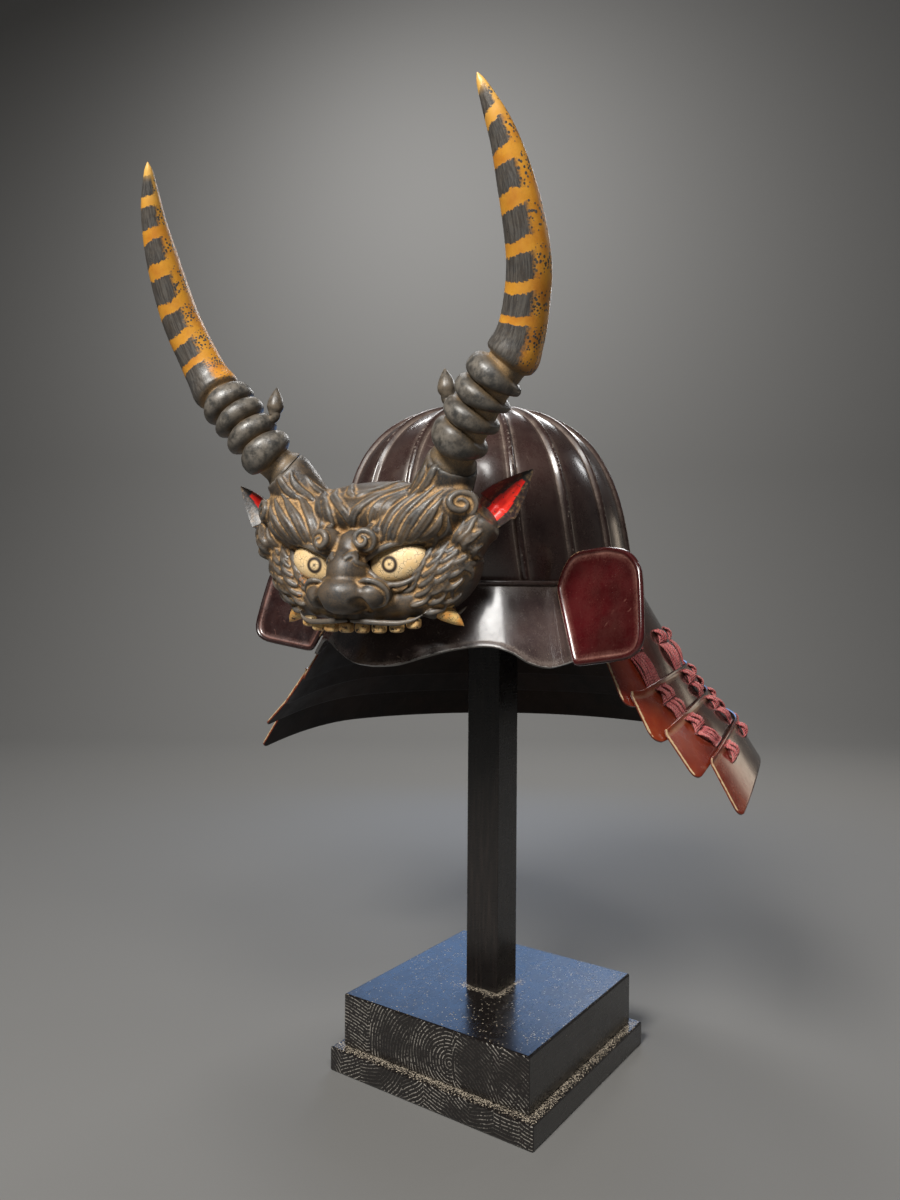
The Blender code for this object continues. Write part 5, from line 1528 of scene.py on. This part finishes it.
def makeEars():
    up = pointing(ear)
    root = facePoint(*ear["root"]) + up * ear["gap"]
    hollow = Vector(ear["faces"])
    hollow = (hollow - up * hollow.dot(up)).normalized()
    across = up.cross(hollow).normalized()
    over, under, red = [], [], []
    for i in range(ear["rows"] + 1):
        t = (i / ear["rows"]) ** 0.95
        half = earHalf(t)
        low, high = (edge + slope * t for edge, slope in zip(ear["redSides"], ear["redSlopes"]))
        outer, inner = [], []
        for k in range(ear["columns"] + 1):
            s = 2.0 * k / ear["columns"] - 1.0
            s = math.copysign(abs(s) ** 0.8, s)
            cup = (1.0 - s * s) * half * ear["cup"]
            fold = ear["fold"] * bell(s, 0.0, 0.12) * math.sin(math.pi * min(1.0, t * 1.1))
            middle = root + up * ear["long"] * t + across * half * s - hollow * (cup - fold)
            middle += Vector((1, 0, 0)) * ear["bend"] * t ** 1.5
            thick = ear["wall"] * (1.0 - 0.6 * t) * (0.55 + 0.45 * math.sqrt(max(0.0, 1.0 - abs(s) ** 6)))
            outer.append(middle - hollow * thick * 0.5)
            inner.append(middle + hollow * thick * 0.5)
            red.append(1.0 if low < s < high and ear["redEnds"][0] < t < ear["redEnds"][1] else 0.0)
        over.append(outer)
        under.append(inner)
    bm = bmesh.new()
    closedSheet(bm, over, under)
    facesOut(bm)
    piece = crestPiece("earLeft", bm, earPaint, ["ear_left"])
    pointValues(piece.data, "inside", [0.0] * len(red) + red)
    mirrorPiece(piece, "earRight", ["ear_right"], crestPlace)


tusk = {
    "root": (56, 22.5, 15), "up": (0.78, 0.26, -0.36), "curl": (0, 0, -0.18), "long": 20.0 * mm,
    "radius": 6.0 * mm, "gap": 0.3 * mm, "steps": 40, "sides": 28, "stem": ((-16, 10), (0, 8.4), (2, 7.4)),
    "prong": (0.92, 0.10, 0.10), "prongLift": 1.5 * mm, "prongLong": 13.5 * mm, "prongRadius": 4.6 * mm,
    "prongSteps": 12,
}
# share of its length, share of its radius
tuskTaper = ((0.0, 0.95), (0.25, 1.0), (0.5, 0.85), (0.78, 0.5), (1.0, 0.0))


def makeTusks():
    out, curl, prong = pointing(tusk), Vector(tusk["curl"]), Vector(tusk["prong"])
    root = facePoint(*tusk["root"]) + out * tusk["gap"]
    points, radii, dark = [], [], []
    for i in range(tusk["steps"] + 1):
        t = i / tusk["steps"]
        points.append(root + (out + curl * t) * tusk["long"] * t)
        radii.append(tusk["radius"] * max(0.0, curveThrough(tuskTaper, t)[0]))
        # the tusk is darker at its root, where it meets the face
        dark += [max(0.0, 0.9 - t * 9.0)] * (tusk["sides"] if radii[-1] > 0 else 1)
    bm = bmesh.new()
    taper(bm, points, radii, tusk["sides"])
    # a shorter prong beside the tusk
    steps, lift = tusk["prongSteps"], Vector((0, 0, tusk["prongLift"]))
    taper(bm, [root + prong * tusk["prongLong"] * k / steps + lift for k in range(steps + 1)],
          [tusk["prongRadius"] * (1.0 - (k / steps) ** 1.6) for k in range(steps + 1)], 20)
    dark += [0.25] * (len(bm.verts) - len(dark))
    facesOut(bm)
    piece = crestPiece("tuskLeft", bm, tuskPaint, ["tusk_left"])
    pointValues(piece.data, "dark", dark)
    mirrorPiece(piece, "tuskRight", ["tusk_right"], crestPlace)


def makeEyes():
    bm = bmesh.new()
    addBall(bm, face["eyeMiddle"], face["eyeSize"], face["eyeTurn"], 1, 6)
    # a dark ring and dot for the pupil
    dark = []
    for v in bm.verts:
        x, z = v.co.x / mm, (v.co.z - crest["lip"]) / mm
        away = math.hypot(x - face["pupil"][0], (z - face["pupil"][1]) * 1.05)
        dark.append(math.exp(-((away - face["pupilRing"]) / face["pupilLine"]) ** 4)
                    + 0.8 * math.exp(-(away / face["pupilDot"]) ** 4))
    facesOut(bm)
    piece = crestPiece("eyeLeft", bm, eyePaint, [])
    pointValues(piece.data, "dark", np.clip(dark, 0, 1))
    mirrorPiece(piece, "eyeRight", [], crestPlace)


def makeTeeth():
    bm = bmesh.new()
    for x, d, z in teeth:
        for side in (1, -1):
            middle = facePoint(x, d, z, side)
            for v in addBall(bm, (x, d, z), (1, 1, 1), x * 0.35, side, 5):
                # squares the ball into a tooth
                away = (v.co - middle) / mm
                full = sum(abs(a) ** 3.4 for a in away) ** (1 / 3.4)
                away = away / full
                v.co = middle + Vector([a * size for a, size in zip(away, face["teethSize"])]) * mm
    facesOut(bm)
    # the teeth are darker towards the top, where they go in under the lip
    low = crest["lip"] + face["teethDark"]
    dark = [within((v.co.z - low) / face["teethDarkOver"], 0.0, 0.8) for v in bm.verts]
    piece = crestPiece("upperTeeth", bm, toothPaint, [])
    pointValues(piece.data, "dark", dark)


makeFace()
print("face")
makeHorns()
makeEars()
makeTusks()
makeEyes()
makeTeeth()
print("horns, ears, tusks, eyes, teeth")


# Floor, light and camera

stage = {
    "wide": 7.0, "front": -3.2, "back": 1.7, "bend": 0.9, "tall": 3.4, "turn": 35.0, "steps": 24, "rough": 0.85,
    "paper": (tone(118, 117, 115), tone(125, 124, 122)), "air": (0.60, 0.61, 0.63, 1.0), "airStrength": 0.075,
}
view = {
    "forward": (-0.5736, 0.8192, 0.0), "right": (0.8192, 0.5736, 0.0), "roll": 0.37,
    "place": (0.42708, -0.67758, 0.4102), "sensor": 36.0, "lens": 27.0, "shift": -0.00467,
}
# name, place, target, size, power, colour
lights = (
    ("key", (0.20, -1.34, 1.42), (0, 0, 0.40), (0.48, 0.42), 34.0, (1.0, 0.98, 0.94)),
    ("gleam", (0.86, -0.83, 1.61), (0.07, -0.12, 0.40), (0.40, 0.30), 8.0, (1.0, 0.98, 0.95)),
    ("right", (0.62, 1.70, 0.56), (0.0, 0.0, 0.36), (0.35, 0.5), 0.8, (1.0, 0.84, 0.66)),
    ("spark", (0.74, 1.52, 1.45), (0.0, 0.0, 0.45), (0.12, 0.25), 1.2, (1, 1, 1)),
    ("rim", (-0.45, 1.45, 1.35), (0, 0, 0.50), (0.35, 0.6), 6.0, (1, 1, 1)),
    ("sheen", (-0.52, 0.84, 0.47), (0, 0, 0.07), (0.62, 0.36), 0.95, (0.19, 0.46, 1.0)),
    ("backdrop", (-0.9, 0.9, 2.2), (-1.0, 2.6, 0.45), (0.9, 0.9), 34.0, (1, 1, 1)),
)


def makeStage():
    bm = bmesh.new()
    turn = Matrix.Rotation(math.radians(stage["turn"]), 4, "Z")
    line = [(stage["front"], 0.0)]
    for k in range(stage["steps"] + 1):
        angle = math.pi / 2 * k / stage["steps"]
        line.append((stage["back"] + stage["bend"] * math.sin(angle), stage["bend"] * (1 - math.cos(angle))))
    line.append((stage["back"] + stage["bend"], stage["tall"]))
    half = stage["wide"] / 2
    rows = [[bm.verts.new(turn @ Vector((x, y, z))) for x in (-half, half)] for y, z in line]
    for low, high in zip(rows, rows[1:]):
        bm.faces.new((low[0], low[1], high[1], high[0]))
    floor = addObject("floor", meshFrom("floor", bm))
    floor.data.shade_smooth()
    material, tree, shader = newMaterial("paper")
    grain = noise(objectPlace(tree), 900.0, 3.0)
    setInputs(shader, Base_Color=mixColour(grain, *stage["paper"]), Roughness=stage["rough"])
    floor.data.materials.append(material)


def addLight(name, place, target, size, power, colour):
    data = bpy.data.lights.new(name, "AREA")
    data.shape = "RECTANGLE"
    data.size, data.size_y = size
    data.energy = power
    data.color = colour
    light = addObject(name, data)
    light.location = place
    light.visible_camera = False
    light.rotation_euler = (Vector(target) - Vector(place)).to_track_quat("-Z", "Y").to_euler()


def makeCamera():
    forward, right, up = Vector(view["forward"]), Vector(view["right"]), Vector((0, 0, 1))
    roll = math.radians(view["roll"])
    right, up = right * math.cos(roll) + up * math.sin(roll), up * math.cos(roll) - right * math.sin(roll)
    data = bpy.data.cameras.new("camera")
    data.sensor_width, data.lens, data.shift_y = view["sensor"], view["lens"], view["shift"]
    data.dof.use_dof = False
    camera = addObject("camera", data)
    camera.matrix_world = Matrix((*zip(right, up, -forward, view["place"]), (0, 0, 0, 1)))
    bpy.context.scene.camera = camera


makeStage()
makeCamera()
for light in lights:
    addLight(*light)
bpy.context.scene.view_settings.view_transform = "Standard"
world = bpy.data.worlds.new("studio")
bpy.context.scene.world = world
world.use_nodes = True
setInputs(world.node_tree.nodes["Background"], Color=stage["air"], Strength=stage["airStrength"])
print("stage")
